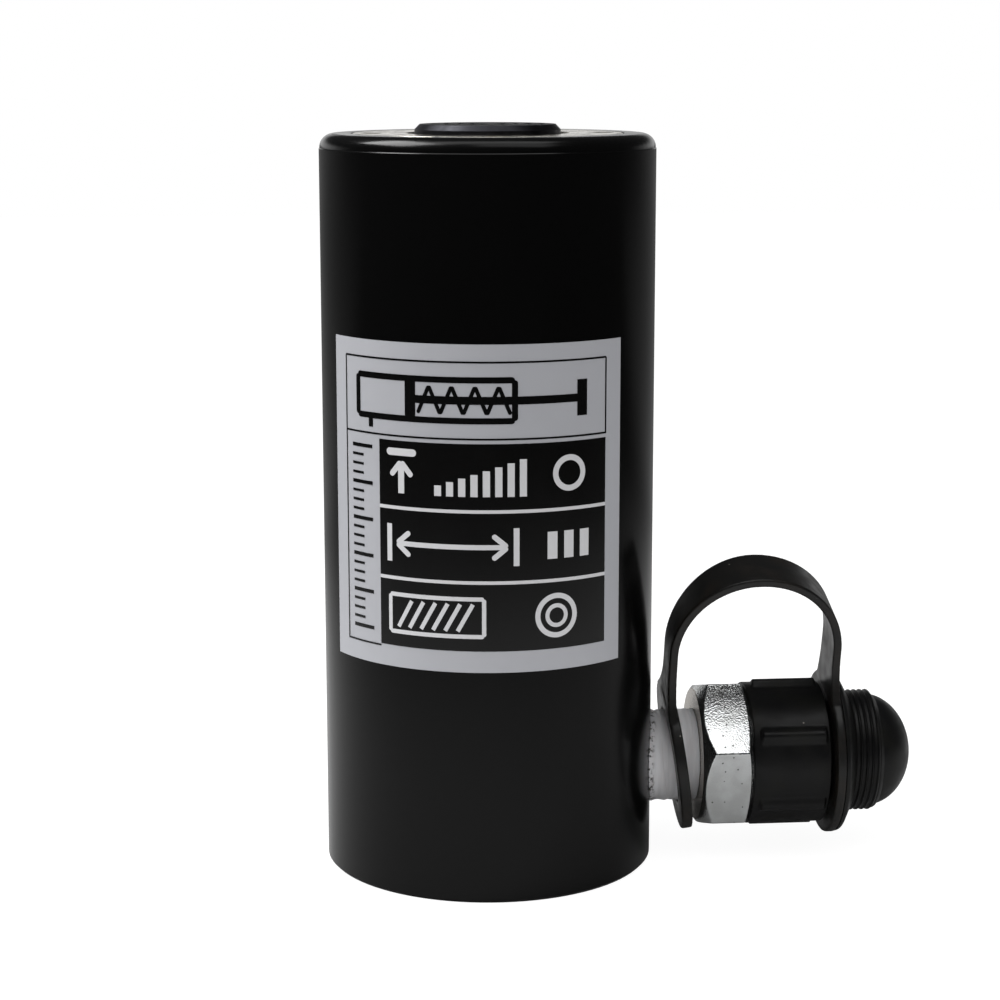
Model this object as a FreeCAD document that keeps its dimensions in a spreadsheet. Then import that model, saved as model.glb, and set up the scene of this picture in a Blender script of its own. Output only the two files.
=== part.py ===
import FreeCAD, Part
import math
import os

import Sketcher

# A single acting hydraulic cylinder that a spring returns.
# The origin is the centre of the barrel's base, +Z is the barrel's axis and +X is the coupler's axis.
# The coupler's pieces are drawn along +X about their own axis, which their Placement lifts to port_height.

V = FreeCAD.Vector

# Driving dimensions, in millimetres, degrees and counts
SIZES = {
    # Barrel
    "barrel_wall": 11.23,
    "barrel_height": 145.0,
    "floor_wall": 5.4,
    "rim_round": 2.7,
    "rim_step": 0.13,
    "base_edge": 0.6,
    # Oil port in the barrel's side
    "port_height": 19.0,
    "port_slack": 1.0,
    "pilot_radius": 3.5,
    "pilot_depth": 8.0,
    "passage_radius": 3.0,
    # Gland nut
    "gland_radius": 26.5,
    "gland_height": 18.0,
    "gland_edge": 0.5,
    "gland_clearance": 0.3,
    "gland_recess_gap": 0.5,
    "spanner_hole_radius": 2.2,
    "spanner_hole_depth": 6.0,
    "spanner_hole_count": 4,
    # Guide ring and wiper in the gland nut
    "bearing_offset": 2.0,
    "bearing_height": 8.0,
    "bearing_wall": 2.2,
    "wiper_offset": 12.4,
    "wiper_height": 4.0,
    "wiper_wall": 3.6,
    "wiper_heel": 2.4,
    "wiper_lip": 0.9,
    # Plunger
    "stroke": 50.0,
    "rod_radius": 15.0,
    "spring_room": 6.5,
    "rod_edge": 0.8,
    "head_height": 18.0,
    "head_clearance": 0.25,
    "standoff_radius": 11.0,
    "standoff_height": 1.0,
    "stop_step": 1.2,
    # Rings on the plunger's head
    "seal_offset": 2.5,
    "seal_height": 5.4,
    "seal_wall": 4.6,
    "seal_lip": 1.1,
    "seal_notch": 2.6,
    "backup_height": 1.3,
    "wear_offset": 11.6,
    "wear_height": 4.2,
    "wear_wall": 2.0,
    # Saddle
    "saddle_step": 0.8,
    "saddle_height": 8.0,
    "saddle_rise": 1.7,
    "saddle_edge": 1.0,
    "saddle_stem_radius": 8.0,
    "saddle_stem_length": 9.0,
    "saddle_groove_count": 4,
    "saddle_groove_pitch": 2.6,
    "saddle_groove_width": 0.9,
    "saddle_groove_depth": 0.5,
    "socket_slack": 2.0,
    "ring_cord_radius": 0.9,
    "ring_offset": 5.0,
    # Return spring
    "spring_wire_radius": 1.8,
    "spring_turns": 6.0,
    "washer_thickness": 1.2,
    # Label
    "label_width": 63.3,
    "label_height": 62.0,
    "label_base": 45.6,
    "label_thickness": 0.15,
    "label_azimuth": -100.9,
    # Coupler
    "stem_reach": 12.73,
    "stem_end_radius": 8.15,
    "stem_radius": 8.6,
    "tape_run_in": 3.0,
    "tape_thickness": 0.6,
    "hex_across_flats": 28.0,
    "hex_gap": 9.22,
    "hex_length": 9.9,
    "hex_face_radius": 13.3,
    "hex_turn": -15.4,
    "nose_radius": 12.0,
    "nose_length": 12.15,
    "nose_relief_length": 1.6,
    "nose_relief_depth": 0.9,
    "socket_radius": 8.0,
    "socket_depth": 6.5,
    "seat_land": 1.2,
    "seat_hole_radius": 3.0,
    "nose_seal_offset": 2.2,
    "nose_seal_width": 2.4,
    "nose_seal_wall": 1.9,
    "nose_seal_squeeze": 0.6,
    # Check valve in the coupler
    "ball_radius": 4.76,
    "ball_travel": 2.5,
    "ball_oil_gap": 0.84,
    "cage_bite": 0.21,
    "cage_length": 10.0,
    "cage_floor": 0.8,
    "cage_hole_radius": 1.1,
    "cage_hole_circle": 3.6,
    "cage_hole_count": 4,
    "valve_wire_radius": 0.35,
    "valve_spring_radius": 2.9,
    "valve_spring_turns": 5.0,
    "snap_ring_wire": 0.9,
    "snap_ring_bite": 0.6,
    "snap_ring_angle": 310.0,
    # Dust cap
    "cap_end_gap": 1.3,
    "cap_sleeve_wall": 2.1,
    "cap_sleeve_length": 15.45,
    "cap_turn": -28.7,
    "rib_count": 6,
    "rib_rise": 1.1,
    "rib_width": 3.2,
    "rib_offset": 1.45,
    "rib_length": 13.4,
    "cap_neck_radius": 10.3,
    "cap_collar_radius": 15.9,
    "cap_collar_tip": 12.9,
    "cap_collar_length": 2.6,
    "cap_nose_radius": 12.3,
    "cap_nose_length": 5.9,
    "cap_core_radius": 8.0,
    "cap_wall": 2.4,
    "dome_radius": 11.5,
    "dome_length": 7.95,
    # Strap between the stem and the cap
    "strap_thickness": 1.7,
    "strap_width": 11.3,
    "strap_ring_thickness": 2.2,
    "strap_lean": 15.6,
    "strap_leg_height": 25.5,
    "tab_width": 14.0,
    "tab_height": 6.5,
    "tab_taper": 4.5,
    "cap_ring_radius": 16.65,
    "neck_ring_radius": 15.2,
    "neck_ring_hole": 9.9,
    "neck_ring_tilt": 8.5,
    "neck_ring_rise": 3.8,
    # Clearances
    "running_gap": 0.04,
    "seat_gap": 0.05,
    "loose_gap": 0.3,
}

# Radii worked out from the driving dimensions
GLAND_SEAT = "(dim.gland_radius + dim.seat_gap)"
BORE_RADIUS = "(dim.rod_radius + dim.spring_room)"
BARREL_RADIUS = f"({BORE_RADIUS} + dim.barrel_wall)"
RIM_RADIUS = f"({BARREL_RADIUS} - dim.rim_step)"
STOP_RADIUS = "(dim.rod_radius + dim.stop_step)"
SADDLE_RADIUS = "(dim.rod_radius - dim.saddle_step)"
STEM_BORE = "(dim.ball_radius + dim.ball_oil_gap)"
CAGE_BORE = "(dim.ball_radius - dim.cage_bite)"
CAP_BORE = "(dim.nose_radius + dim.loose_gap)"
CAP_RADIUS = f"({CAP_BORE} + dim.cap_sleeve_wall)"

# Heights on the barrel's axis, worked out from the driving dimensions
GLAND_BASE = "(dim.barrel_height - dim.gland_height)"
BORE_FLOOR = "(dim.port_height + dim.stem_radius + dim.floor_wall)"
RIM_FOOT = "(dim.barrel_height - dim.rim_round - dim.seat_gap)"
HEAD_BASE = f"({BORE_FLOOR} + dim.standoff_height)"
HEAD_TOP = f"({HEAD_BASE} + dim.head_height)"
HEAD_RADIUS = f"({BORE_RADIUS} - dim.head_clearance)"
STOP_TOP = f"({GLAND_BASE} - dim.stroke - dim.seat_gap)"
ROD_TOP = "(dim.barrel_height + dim.saddle_rise - dim.saddle_height)"
SADDLE_TOP = "(dim.barrel_height + dim.saddle_rise)"
BEARING_BASE = f"({GLAND_BASE} + dim.bearing_offset)"
BEARING_TOP = f"({BEARING_BASE} + dim.bearing_height)"
BEARING_RADIUS = "(dim.rod_radius + dim.bearing_wall)"
WIPER_BASE = f"({GLAND_BASE} + dim.wiper_offset)"
WIPER_TOP = f"({WIPER_BASE} + dim.wiper_height)"
WIPER_RADIUS = "(dim.rod_radius + dim.wiper_wall)"
SEAL_BASE = f"({HEAD_BASE} + dim.seal_offset)"
SEAL_TOP = f"({SEAL_BASE} + dim.seal_height)"
BACKUP_BASE = f"({SEAL_TOP} + dim.seat_gap)"
BACKUP_TOP = f"({BACKUP_BASE} + dim.backup_height)"
SEAL_ROOT = f"({BORE_RADIUS} - dim.seal_wall)"
WEAR_BASE = f"({HEAD_BASE} + dim.wear_offset)"
WEAR_TOP = f"({WEAR_BASE} + dim.wear_height)"
WEAR_ROOT = f"({BORE_RADIUS} - dim.wear_wall)"
SOCKET_RADIUS = "(dim.saddle_stem_radius + dim.loose_gap)"
SOCKET_FLOOR = f"({ROD_TOP} - dim.saddle_stem_length - dim.socket_slack)"
STEM_FOOT = f"({ROD_TOP} - dim.saddle_stem_length)"
RING_MIDDLE = f"({ROD_TOP} - dim.ring_offset)"
RING_ROOT = f"({SOCKET_RADIUS} - dim.seat_gap - 2 * dim.ring_cord_radius)"
LOWER_WASHER_TOP = f"({HEAD_TOP} + dim.washer_thickness)"
UPPER_WASHER_BASE = f"({GLAND_BASE} - dim.washer_thickness)"
WASHER_BORE = f"({STOP_RADIUS} + dim.loose_gap)"
WASHER_RADIUS = f"({BORE_RADIUS} - dim.loose_gap)"
SPRING_RADIUS = f"(({STOP_RADIUS} + {BORE_RADIUS}) / 2)"

# Places on the coupler's axis, worked out from the driving dimensions
STEM_END = f"({BARREL_RADIUS} - dim.stem_reach)"
PORT_FLOOR = f"({STEM_END} - dim.port_slack)"
PILOT_END = f"({PORT_FLOOR} - dim.pilot_depth)"
HEX_START = f"({BARREL_RADIUS} + dim.hex_gap)"
HEX_END = f"({HEX_START} + dim.hex_length)"
RELIEF_END = f"({HEX_END} + dim.nose_relief_length)"
NOSE_END = f"({HEX_END} + dim.nose_length)"
SOCKET_START = f"({NOSE_END} - dim.socket_depth)"
SEAT_END = f"({SOCKET_START} - dim.seat_land)"
SEAT_START = f"({SEAT_END} - {STEM_BORE} + dim.seat_hole_radius)"
NOSE_SEAL_END = f"({NOSE_END} - dim.nose_seal_offset)"
NOSE_SEAL_START = f"({NOSE_SEAL_END} - dim.nose_seal_width)"
NOSE_SEAL_ROOT = "(dim.socket_radius - dim.nose_seal_squeeze + dim.nose_seal_wall)"
BALL_MIDDLE = f"({SEAT_START} + {STEM_BORE} - sqrt(2) * (dim.ball_radius + dim.seat_gap))"
BALL_REACH = f"sqrt(pow(dim.ball_radius; 2) - pow({CAGE_BORE}; 2))"
CAGE_END = f"({BALL_MIDDLE} - {BALL_REACH} - dim.ball_travel - dim.seat_gap)"
CAGE_START = f"({CAGE_END} - dim.cage_length)"
CAGE_RADIUS = f"({STEM_BORE} - dim.seat_gap)"
TAPE_RADIUS = "(dim.stem_radius + dim.tape_thickness)"
TAPE_END = f"({HEX_START} - dim.seat_gap)"
CAP_START = f"({HEX_END} + dim.loose_gap)"
CAP_FLOOR = f"({NOSE_END} + dim.cap_end_gap)"
SLEEVE_END = f"({CAP_START} + dim.cap_sleeve_length)"
CAP_RING_START = f"({SLEEVE_END} + dim.loose_gap)"
CAP_RING_END = f"({CAP_RING_START} + dim.strap_ring_thickness)"
COLLAR_START = f"({CAP_RING_END} + dim.loose_gap)"
COLLAR_END = f"({COLLAR_START} + dim.cap_collar_length)"
CAP_NOSE_END = f"({COLLAR_END} + dim.cap_nose_length)"
CORE_END = f"({CAP_NOSE_END} - dim.cap_wall + dim.dome_length / 2)"

# The strap's arch: its right leg stands on the cap ring and its left leg on the neck ring
NECK_RING_MIDDLE = f"({HEX_START} - dim.neck_ring_rise)"
LEFT_LEG = f"({NECK_RING_MIDDLE} - tan(dim.neck_ring_tilt) * dim.neck_ring_radius)"
RIGHT_LEG = f"({CAP_RING_START} + dim.strap_thickness / 2)"
ARCH_MIDDLE = f"(({LEFT_LEG} + {RIGHT_LEG}) / 2)"
ARCH_RADIUS = f"(({RIGHT_LEG} - {LEFT_LEG}) / 2)"
LEG_FOOT = "(dim.neck_ring_radius - dim.strap_thickness)"


def make_sheet(doc):
    """Writes the driving dimensions into the sheet, one row each, with the name as alias."""
    sheet = doc.addObject("Spreadsheet::Sheet", "dim")
    for row, (name, size) in enumerate(SIZES.items(), start=1):
        sheet.set(f"A{row}", name.replace("_", " "))
        sheet.set(f"B{row}", str(size))
        sheet.setAlias(f"B{row}", name)
    doc.recompute()


def value(owner, expression):
    """The number that an expression gives with the sheet's present sizes."""
    return float(owner.evalExpression(expression))


def new_body(doc, name):
    body = doc.addObject("PartDesign::Body", name)
    body.Label = name
    return body


def coupler_body_frame(body, turn=None):
    """Lifts a piece drawn along +X to the port's height, and turns it about its own axis."""
    body.setExpression("Placement.Base.z", "dim.port_height")
    if turn:
        body.Placement = FreeCAD.Placement(V(0, 0, 0), FreeCAD.Rotation(V(1, 0, 0), value(body, turn)))
        body.setExpression("Placement.Rotation.Angle", turn)
    return body


def new_sketch(body, name, role, offset=None, shift=None, tilt=None):
    """A sketch on one of the body's own planes: offset along its normal, shift along its V axis."""
    plane = next(f for f in body.Origin.OriginFeatures if f.Role == role)
    sketch = body.newObject("Sketcher::SketchObject", name)
    sketch.AttachmentSupport = [(plane, "")]
    sketch.MapMode = "FlatFace"
    if tilt:
        turn = FreeCAD.Rotation(V(-1, 0, 0), value(sketch, tilt))
        sketch.AttachmentOffset = FreeCAD.Placement(V(0, 0, 0), turn)
        sketch.setExpression("AttachmentOffset.Rotation.Angle", tilt)
    if offset:
        sketch.setExpression("AttachmentOffset.Base.z", offset)
    if shift:
        sketch.setExpression("AttachmentOffset.Base.y", shift)
    return sketch


def fix_point(sketch, line, end, x, y):
    """Ties one end of a line to a place measured from the sketch's origin."""
    for kind, axis, expression in (("DistanceX", -2, x), ("DistanceY", -1, y)):
        if expression == "0":
            sketch.addConstraint(Sketcher.Constraint("PointOnObject", line, end, axis))
            continue
        size = value(sketch, expression)
        index = sketch.addConstraint(Sketcher.Constraint(kind, -1, 1, line, end, size))
        sketch.setExpression(f"Constraints[{index}]", expression)


def draw_outline(sketch, corners):
    """A closed run of straight lines through corners, each given as two expressions."""
    points = [V(value(sketch, x), value(sketch, y), 0) for x, y in corners]
    first = sketch.GeometryCount
    count = len(points)
    for i in range(count):
        sketch.addGeometry(Part.LineSegment(points[i], points[(i + 1) % count]), False)
    for i in range(count):
        ends = (first + i, 2, first + (i + 1) % count, 1)
        sketch.addConstraint(Sketcher.Constraint("Coincident", *ends))
    for i, (x, y) in enumerate(corners):
        fix_point(sketch, first + i, 1, x, y)


def draw_circle(sketch, radius, x="0", y="0"):
    size = value(sketch, radius)
    centre = V(value(sketch, x), value(sketch, y), 0)
    circle = sketch.addGeometry(Part.Circle(centre, V(0, 0, 1), size), False)
    index = sketch.addConstraint(Sketcher.Constraint("Radius", circle, size))
    sketch.setExpression(f"Constraints[{index}]", radius)
    fix_point(sketch, circle, 3, x, y)


def revolve(body, name, corners, axis="V_Axis", cut=False, shift=None, angle=None):
    """Turns an outline in the XZ plane about the sketch's own axis, as added or cut material."""
    sketch = new_sketch(body, f"{name}_outline", "XZ_Plane", shift=shift)
    draw_outline(sketch, corners)
    feature = body.newObject("PartDesign::Groove" if cut else "PartDesign::Revolution", name)
    feature.Profile = sketch
    feature.ReferenceAxis = (sketch, [axis])
    feature.Angle = 360
    if angle:
        feature.setExpression("Angle", angle)
        feature.Midplane = True
    return feature


def pad(body, name, sketch, length, midplane=False):
    feature = body.newObject("PartDesign::Pad", name)
    feature.Profile = sketch
    feature.setExpression("Length", length)
    feature.Midplane = midplane
    return feature


def pocket(body, name, sketch, length, midplane=False):
    feature = body.newObject("PartDesign::Pocket", name)
    feature.Profile = sketch
    feature.setExpression("Length", length)
    feature.Midplane = midplane
    return feature


def polar(body, name, original, role, count):
    """Repeats a feature evenly about one of the body's own axes."""
    axis = next(f for f in body.Origin.OriginFeatures if f.Role == role)
    pattern = body.newObject("PartDesign::PolarPattern", name)
    pattern.Originals = [original]
    pattern.Axis = (axis, [""])
    pattern.Angle = 360
    pattern.setExpression("Occurrences", count)
    body.Tip = pattern
    return pattern


def round_edges(shape, radius, along, place):
    """Names of the full circles of one radius at one place along an axis."""
    names = []
    for index, edge in enumerate(shape.Edges, start=1):
        curve = edge.Curve
        if isinstance(curve, Part.Circle) and abs(curve.Radius - radius) < 1e-4:
            if abs(curve.Center.dot(along) - place) < 1e-4:
                names.append(f"Edge{index}")
    return names


def soften(body, name, kind, size, base, edges):
    """A fillet or chamfer on round edges, each given by its radius and place as expressions."""
    body.Document.recompute()
    names = []
    for radius, along, place in edges:
        names += round_edges(base.Shape, value(body, radius), along, value(body, place))
    feature = body.newObject(f"PartDesign::{kind}", name)
    feature.Base = (base, names)
    feature.setExpression("Radius" if kind == "Fillet" else "Size", size)
    body.Tip = feature
    return feature


def ring(doc, name, inner, outer, low, high):
    """A plain turned ring about the barrel's axis."""
    body = new_body(doc, name)
    revolve(body, "turned_ring", [(inner, low), (outer, low), (outer, high), (inner, high)])
    return body


def make_cylinder_body(doc):
    """The barrel: a blind bore, a wider seat for the gland nut, the side port and its drillings.

    The tool that rounds the rim leaves a small step below it.
    """
    body = new_body(doc, "cylinder_body")
    turned = revolve(body, "turned_barrel", [
        ("0", "0"),
        (BARREL_RADIUS, "0"),
        (BARREL_RADIUS, f"{RIM_FOOT} - dim.rim_step"),
        (RIM_RADIUS, RIM_FOOT),
        (RIM_RADIUS, "dim.barrel_height"),
        (GLAND_SEAT, "dim.barrel_height"),
        (GLAND_SEAT, GLAND_BASE),
        (BORE_RADIUS, GLAND_BASE),
        (BORE_RADIUS, BORE_FLOOR),
        ("0", BORE_FLOOR),
    ])
    up = V(0, 0, 1)
    rim_wall = f"({RIM_RADIUS} - {GLAND_SEAT})"
    rim = soften(body, "rim", "Fillet", f"min(dim.rim_round; 0.9 * {rim_wall})", turned, [
        (RIM_RADIUS, up, "dim.barrel_height"),
    ])
    soften(body, "base_edge", "Chamfer", "dim.base_edge", rim, [
        (BARREL_RADIUS, up, "0"),
    ])
    gap = "dim.seat_gap"
    outside = f"({BARREL_RADIUS} + dim.port_slack)"
    revolve(body, "port", [
        (PILOT_END, "0"),
        (PILOT_END, "dim.pilot_radius"),
        (PORT_FLOOR, "dim.pilot_radius"),
        (PORT_FLOOR, f"dim.stem_end_radius + {gap}"),
        (outside, f"dim.stem_radius + {gap}"),
        (outside, "0"),
    ], axis="H_Axis", cut=True, shift="dim.port_height")
    floor = new_sketch(body, "passage_circle", "XY_Plane", offset=BORE_FLOOR)
    draw_circle(floor, "dim.passage_radius", f"{PILOT_END} + dim.pilot_radius")
    pocket(body, "passage", floor, f"{BORE_FLOOR} - dim.port_height")
    return body


def make_gland_nut(doc):
    """The threaded ring on top, with inner grooves for the guide ring and the wiper."""
    body = new_body(doc, "gland_nut")
    bore = "(dim.rod_radius + dim.gland_clearance)"
    recess = "(dim.rod_radius + dim.gland_recess_gap)"
    turned = revolve(body, "turned_nut", [
        (bore, GLAND_BASE),
        ("dim.gland_radius", GLAND_BASE),
        ("dim.gland_radius", "dim.barrel_height"),
        (recess, "dim.barrel_height"),
        (recess, WIPER_TOP),
        (WIPER_RADIUS, WIPER_TOP),
        (WIPER_RADIUS, WIPER_BASE),
        (bore, WIPER_BASE),
        (bore, BEARING_TOP),
        (BEARING_RADIUS, BEARING_TOP),
        (BEARING_RADIUS, BEARING_BASE),
        (bore, BEARING_BASE),
    ])
    soften(body, "edges", "Chamfer", "dim.gland_edge", turned, [
        ("dim.gland_radius", V(0, 0, 1), "dim.barrel_height"),
        (recess, V(0, 0, 1), "dim.barrel_height"),
    ])
    top = new_sketch(body, "spanner_circle", "XY_Plane", offset="dim.barrel_height")
    draw_circle(top, "dim.spanner_hole_radius", f"({WIPER_RADIUS} + dim.gland_radius) / 2")
    hole = pocket(body, "spanner_hole", top, "dim.spanner_hole_depth")
    polar(body, "spanner_holes", hole, "Z_Axis", "dim.spanner_hole_count")
    return body


def make_rod_bearing(doc):
    gap = "dim.seat_gap"
    inner = "dim.rod_radius + dim.running_gap"
    low = f"{BEARING_BASE} + {gap}"
    high = f"{BEARING_TOP} - {gap}"
    return ring(doc, "rod_bearing", inner, f"{BEARING_RADIUS} - {gap}", low, high)


def make_rod_wiper(doc):
    """A heel that fills the groove and a thin lip that leans up against the rod."""
    body = new_body(doc, "rod_wiper")
    gap = "dim.seat_gap"
    outer = f"{WIPER_RADIUS} - {gap}"
    touch = "dim.rod_radius + dim.running_gap"
    heel = f"{WIPER_BASE} + dim.wiper_heel"
    tip = f"{WIPER_TOP} - {gap}"
    revolve(body, "moulded_ring", [
        (f"{touch} + dim.wiper_lip", f"{WIPER_BASE} + {gap}"),
        (outer, f"{WIPER_BASE} + {gap}"),
        (outer, heel),
        (f"{touch} + 2 * dim.wiper_lip", heel),
        (f"{touch} + dim.wiper_lip", tip),
        (touch, tip),
    ])
    return body


def make_plunger(doc):
    """Rod and head in one turned piece: foot, seal grooves, stop collar and the saddle's socket."""
    body = new_body(doc, "plunger")
    turned = revolve(body, "turned_plunger", [
        ("0", BORE_FLOOR),
        ("dim.standoff_radius", BORE_FLOOR),
        ("dim.standoff_radius", HEAD_BASE),
        (HEAD_RADIUS, HEAD_BASE),
        (HEAD_RADIUS, SEAL_BASE),
        (SEAL_ROOT, SEAL_BASE),
        (SEAL_ROOT, f"{BACKUP_TOP} + dim.seat_gap"),
        (HEAD_RADIUS, f"{BACKUP_TOP} + dim.seat_gap"),
        (HEAD_RADIUS, WEAR_BASE),
        (WEAR_ROOT, WEAR_BASE),
        (WEAR_ROOT, WEAR_TOP),
        (HEAD_RADIUS, WEAR_TOP),
        (HEAD_RADIUS, HEAD_TOP),
        (STOP_RADIUS, HEAD_TOP),
        (STOP_RADIUS, STOP_TOP),
        ("dim.rod_radius", STOP_TOP),
        ("dim.rod_radius", ROD_TOP),
        (SOCKET_RADIUS, ROD_TOP),
        (SOCKET_RADIUS, SOCKET_FLOOR),
        ("0", SOCKET_FLOOR),
    ])
    soften(body, "rod_edge", "Chamfer", "dim.rod_edge", turned, [
        ("dim.rod_radius", V(0, 0, 1), ROD_TOP),
        (HEAD_RADIUS, V(0, 0, 1), HEAD_BASE),
    ])
    return body


def make_piston_seal(doc):
    """A U-cup whose two lips face the oil below."""
    body = new_body(doc, "piston_seal")
    gap = "dim.seat_gap"
    inner = f"({SEAL_ROOT} + {gap})"
    outer = f"({BORE_RADIUS} - dim.running_gap)"
    low = f"{SEAL_BASE} + {gap}"
    revolve(body, "moulded_ring", [
        (inner, low),
        (f"{inner} + dim.seal_lip", low),
        (f"({inner} + {outer}) / 2", f"{low} + dim.seal_notch"),
        (f"{outer} - dim.seal_lip", low),
        (outer, low),
        (outer, SEAL_TOP),
        (inner, SEAL_TOP),
    ])
    return body


def make_head_rings(doc):
    """The hard ring that backs the U-cup, and the guide ring above it."""
    gap = "dim.seat_gap"
    outer = f"{BORE_RADIUS} - dim.running_gap"
    backup = ring(doc, "backup_ring", f"{SEAL_ROOT} + {gap}", outer, BACKUP_BASE, BACKUP_TOP)
    low = f"{WEAR_BASE} + {gap}"
    high = f"{WEAR_TOP} - {gap}"
    wear = ring(doc, "piston_wear_ring", f"{WEAR_ROOT} + {gap}", outer, low, high)
    return [backup, wear]


def make_spring_washers(doc):
    upper = ring(doc, "spring_washer_upper", WASHER_BORE, WASHER_RADIUS, UPPER_WASHER_BASE, GLAND_BASE)
    lower = ring(doc, "spring_washer_lower", WASHER_BORE, WASHER_RADIUS, HEAD_TOP, LOWER_WASHER_TOP)
    return [upper, lower]


def make_spring(body, axis, radius, low, high, wire, turns):
    """A round wire coiled at one radius between two places on the axis."""
    sketch = new_sketch(body, "wire_section", "XZ_Plane")
    first = f"{low} + {wire} + dim.seat_gap"
    along_z = axis == "V_Axis"
    draw_circle(sketch, wire, radius if along_z else first, first if along_z else radius)
    coil = body.newObject("PartDesign::AdditiveHelix", "coil")
    coil.Profile = sketch
    coil.ReferenceAxis = (sketch, [axis])
    coil.Mode = "height-turns-angle"
    coil.setExpression("Height", f"{high} - {low} - 2 * ({wire} + dim.seat_gap)")
    coil.setExpression("Turns", turns)
    return coil


def make_return_spring(doc):
    body = new_body(doc, "return_spring")
    wire = "dim.spring_wire_radius"
    low, high = LOWER_WASHER_TOP, UPPER_WASHER_BASE
    make_spring(body, "V_Axis", SPRING_RADIUS, low, high, wire, "dim.spring_turns")
    return body


def make_saddle(doc):
    """A load button with turned grooves on top and a stem that snaps into the rod's socket."""
    body = new_body(doc, "saddle")
    cord = "dim.ring_cord_radius"
    groove_low = f"{RING_MIDDLE} - {cord} - dim.seat_gap"
    groove_high = f"{RING_MIDDLE} + {cord} + dim.seat_gap"
    root = f"{RING_ROOT} - dim.seat_gap"
    turned = revolve(body, "turned_button", [
        ("0", STEM_FOOT),
        ("dim.saddle_stem_radius", STEM_FOOT),
        ("dim.saddle_stem_radius", groove_low),
        (root, groove_low),
        (root, groove_high),
        ("dim.saddle_stem_radius", groove_high),
        ("dim.saddle_stem_radius", ROD_TOP),
        (SADDLE_RADIUS, ROD_TOP),
        (SADDLE_RADIUS, SADDLE_TOP),
        ("0", SADDLE_TOP),
    ])
    soften(body, "saddle_edge", "Chamfer", "dim.saddle_edge", turned, [
        (SADDLE_RADIUS, V(0, 0, 1), SADDLE_TOP),
    ])
    for index in range(1, int(SIZES["saddle_groove_count"]) + 1):
        inner = f"{index} * dim.saddle_groove_pitch"
        outer = f"{inner} + dim.saddle_groove_width"
        low = f"{SADDLE_TOP} - dim.saddle_groove_depth"
        high = f"{SADDLE_TOP} + dim.saddle_groove_depth"
        corners = [(inner, low), (outer, low), (outer, high), (inner, high)]
        revolve(body, f"grip_groove_{index}", corners, cut=True)
    return body


def make_saddle_o_ring(doc):
    torus = doc.addObject("Part::Torus", "saddle_o_ring")
    torus.Label = "saddle_o_ring"
    torus.setExpression("Radius1", f"{RING_ROOT} + dim.ring_cord_radius")
    torus.setExpression("Radius2", "dim.ring_cord_radius")
    torus.setExpression("Placement.Base.z", RING_MIDDLE)
    return torus


def make_label_plate(doc):
    """A thin sheet wrapped round the barrel's front, centred on its azimuth."""
    body = new_body(doc, "label_plate")
    inner = f"{BARREL_RADIUS} + dim.seat_gap / 2"
    outer = f"{inner} + dim.label_thickness"
    top = "dim.label_base + dim.label_height"
    corners = [(inner, "dim.label_base"), (outer, "dim.label_base"), (outer, top), (inner, top)]
    revolve(body, "wrapped_sheet", corners, angle=f"dim.label_width / {BARREL_RADIUS} * 180 / pi")
    turn = FreeCAD.Rotation(V(0, 0, -1), -value(body, "dim.label_azimuth"))
    body.Placement = FreeCAD.Placement(V(0, 0, 0), turn)
    body.setExpression("Placement.Rotation.Angle", "-dim.label_azimuth")
    return body


def draw_hexagon(sketch, across_flats):
    """A regular hexagon about the origin with one corner on the sketch's H axis."""
    reach = value(sketch, f"{across_flats} / sqrt(3)")
    rim = sketch.addGeometry(Part.Circle(V(0, 0, 0), V(0, 0, 1), reach), True)
    sketch.addConstraint(Sketcher.Constraint("Coincident", rim, 3, -1, 1))
    index = sketch.addConstraint(Sketcher.Constraint("Radius", rim, reach))
    sketch.setExpression(f"Constraints[{index}]", f"{across_flats} / sqrt(3)")
    turn = FreeCAD.Rotation(V(0, 0, 1), 60)
    corner = V(reach, 0, 0)
    sides = []
    for _ in range(6):
        following = turn.multVec(corner)
        sides.append(sketch.addGeometry(Part.LineSegment(corner, following), False))
        corner = following
    for i, side in enumerate(sides):
        after = sides[(i + 1) % 6]
        sketch.addConstraint(Sketcher.Constraint("Coincident", side, 2, after, 1))
        sketch.addConstraint(Sketcher.Constraint("PointOnObject", side, 1, rim))
        if i:
            sketch.addConstraint(Sketcher.Constraint("Equal", sides[0], side))
    sketch.addConstraint(Sketcher.Constraint("PointOnObject", sides[0], 1, -1))


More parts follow.
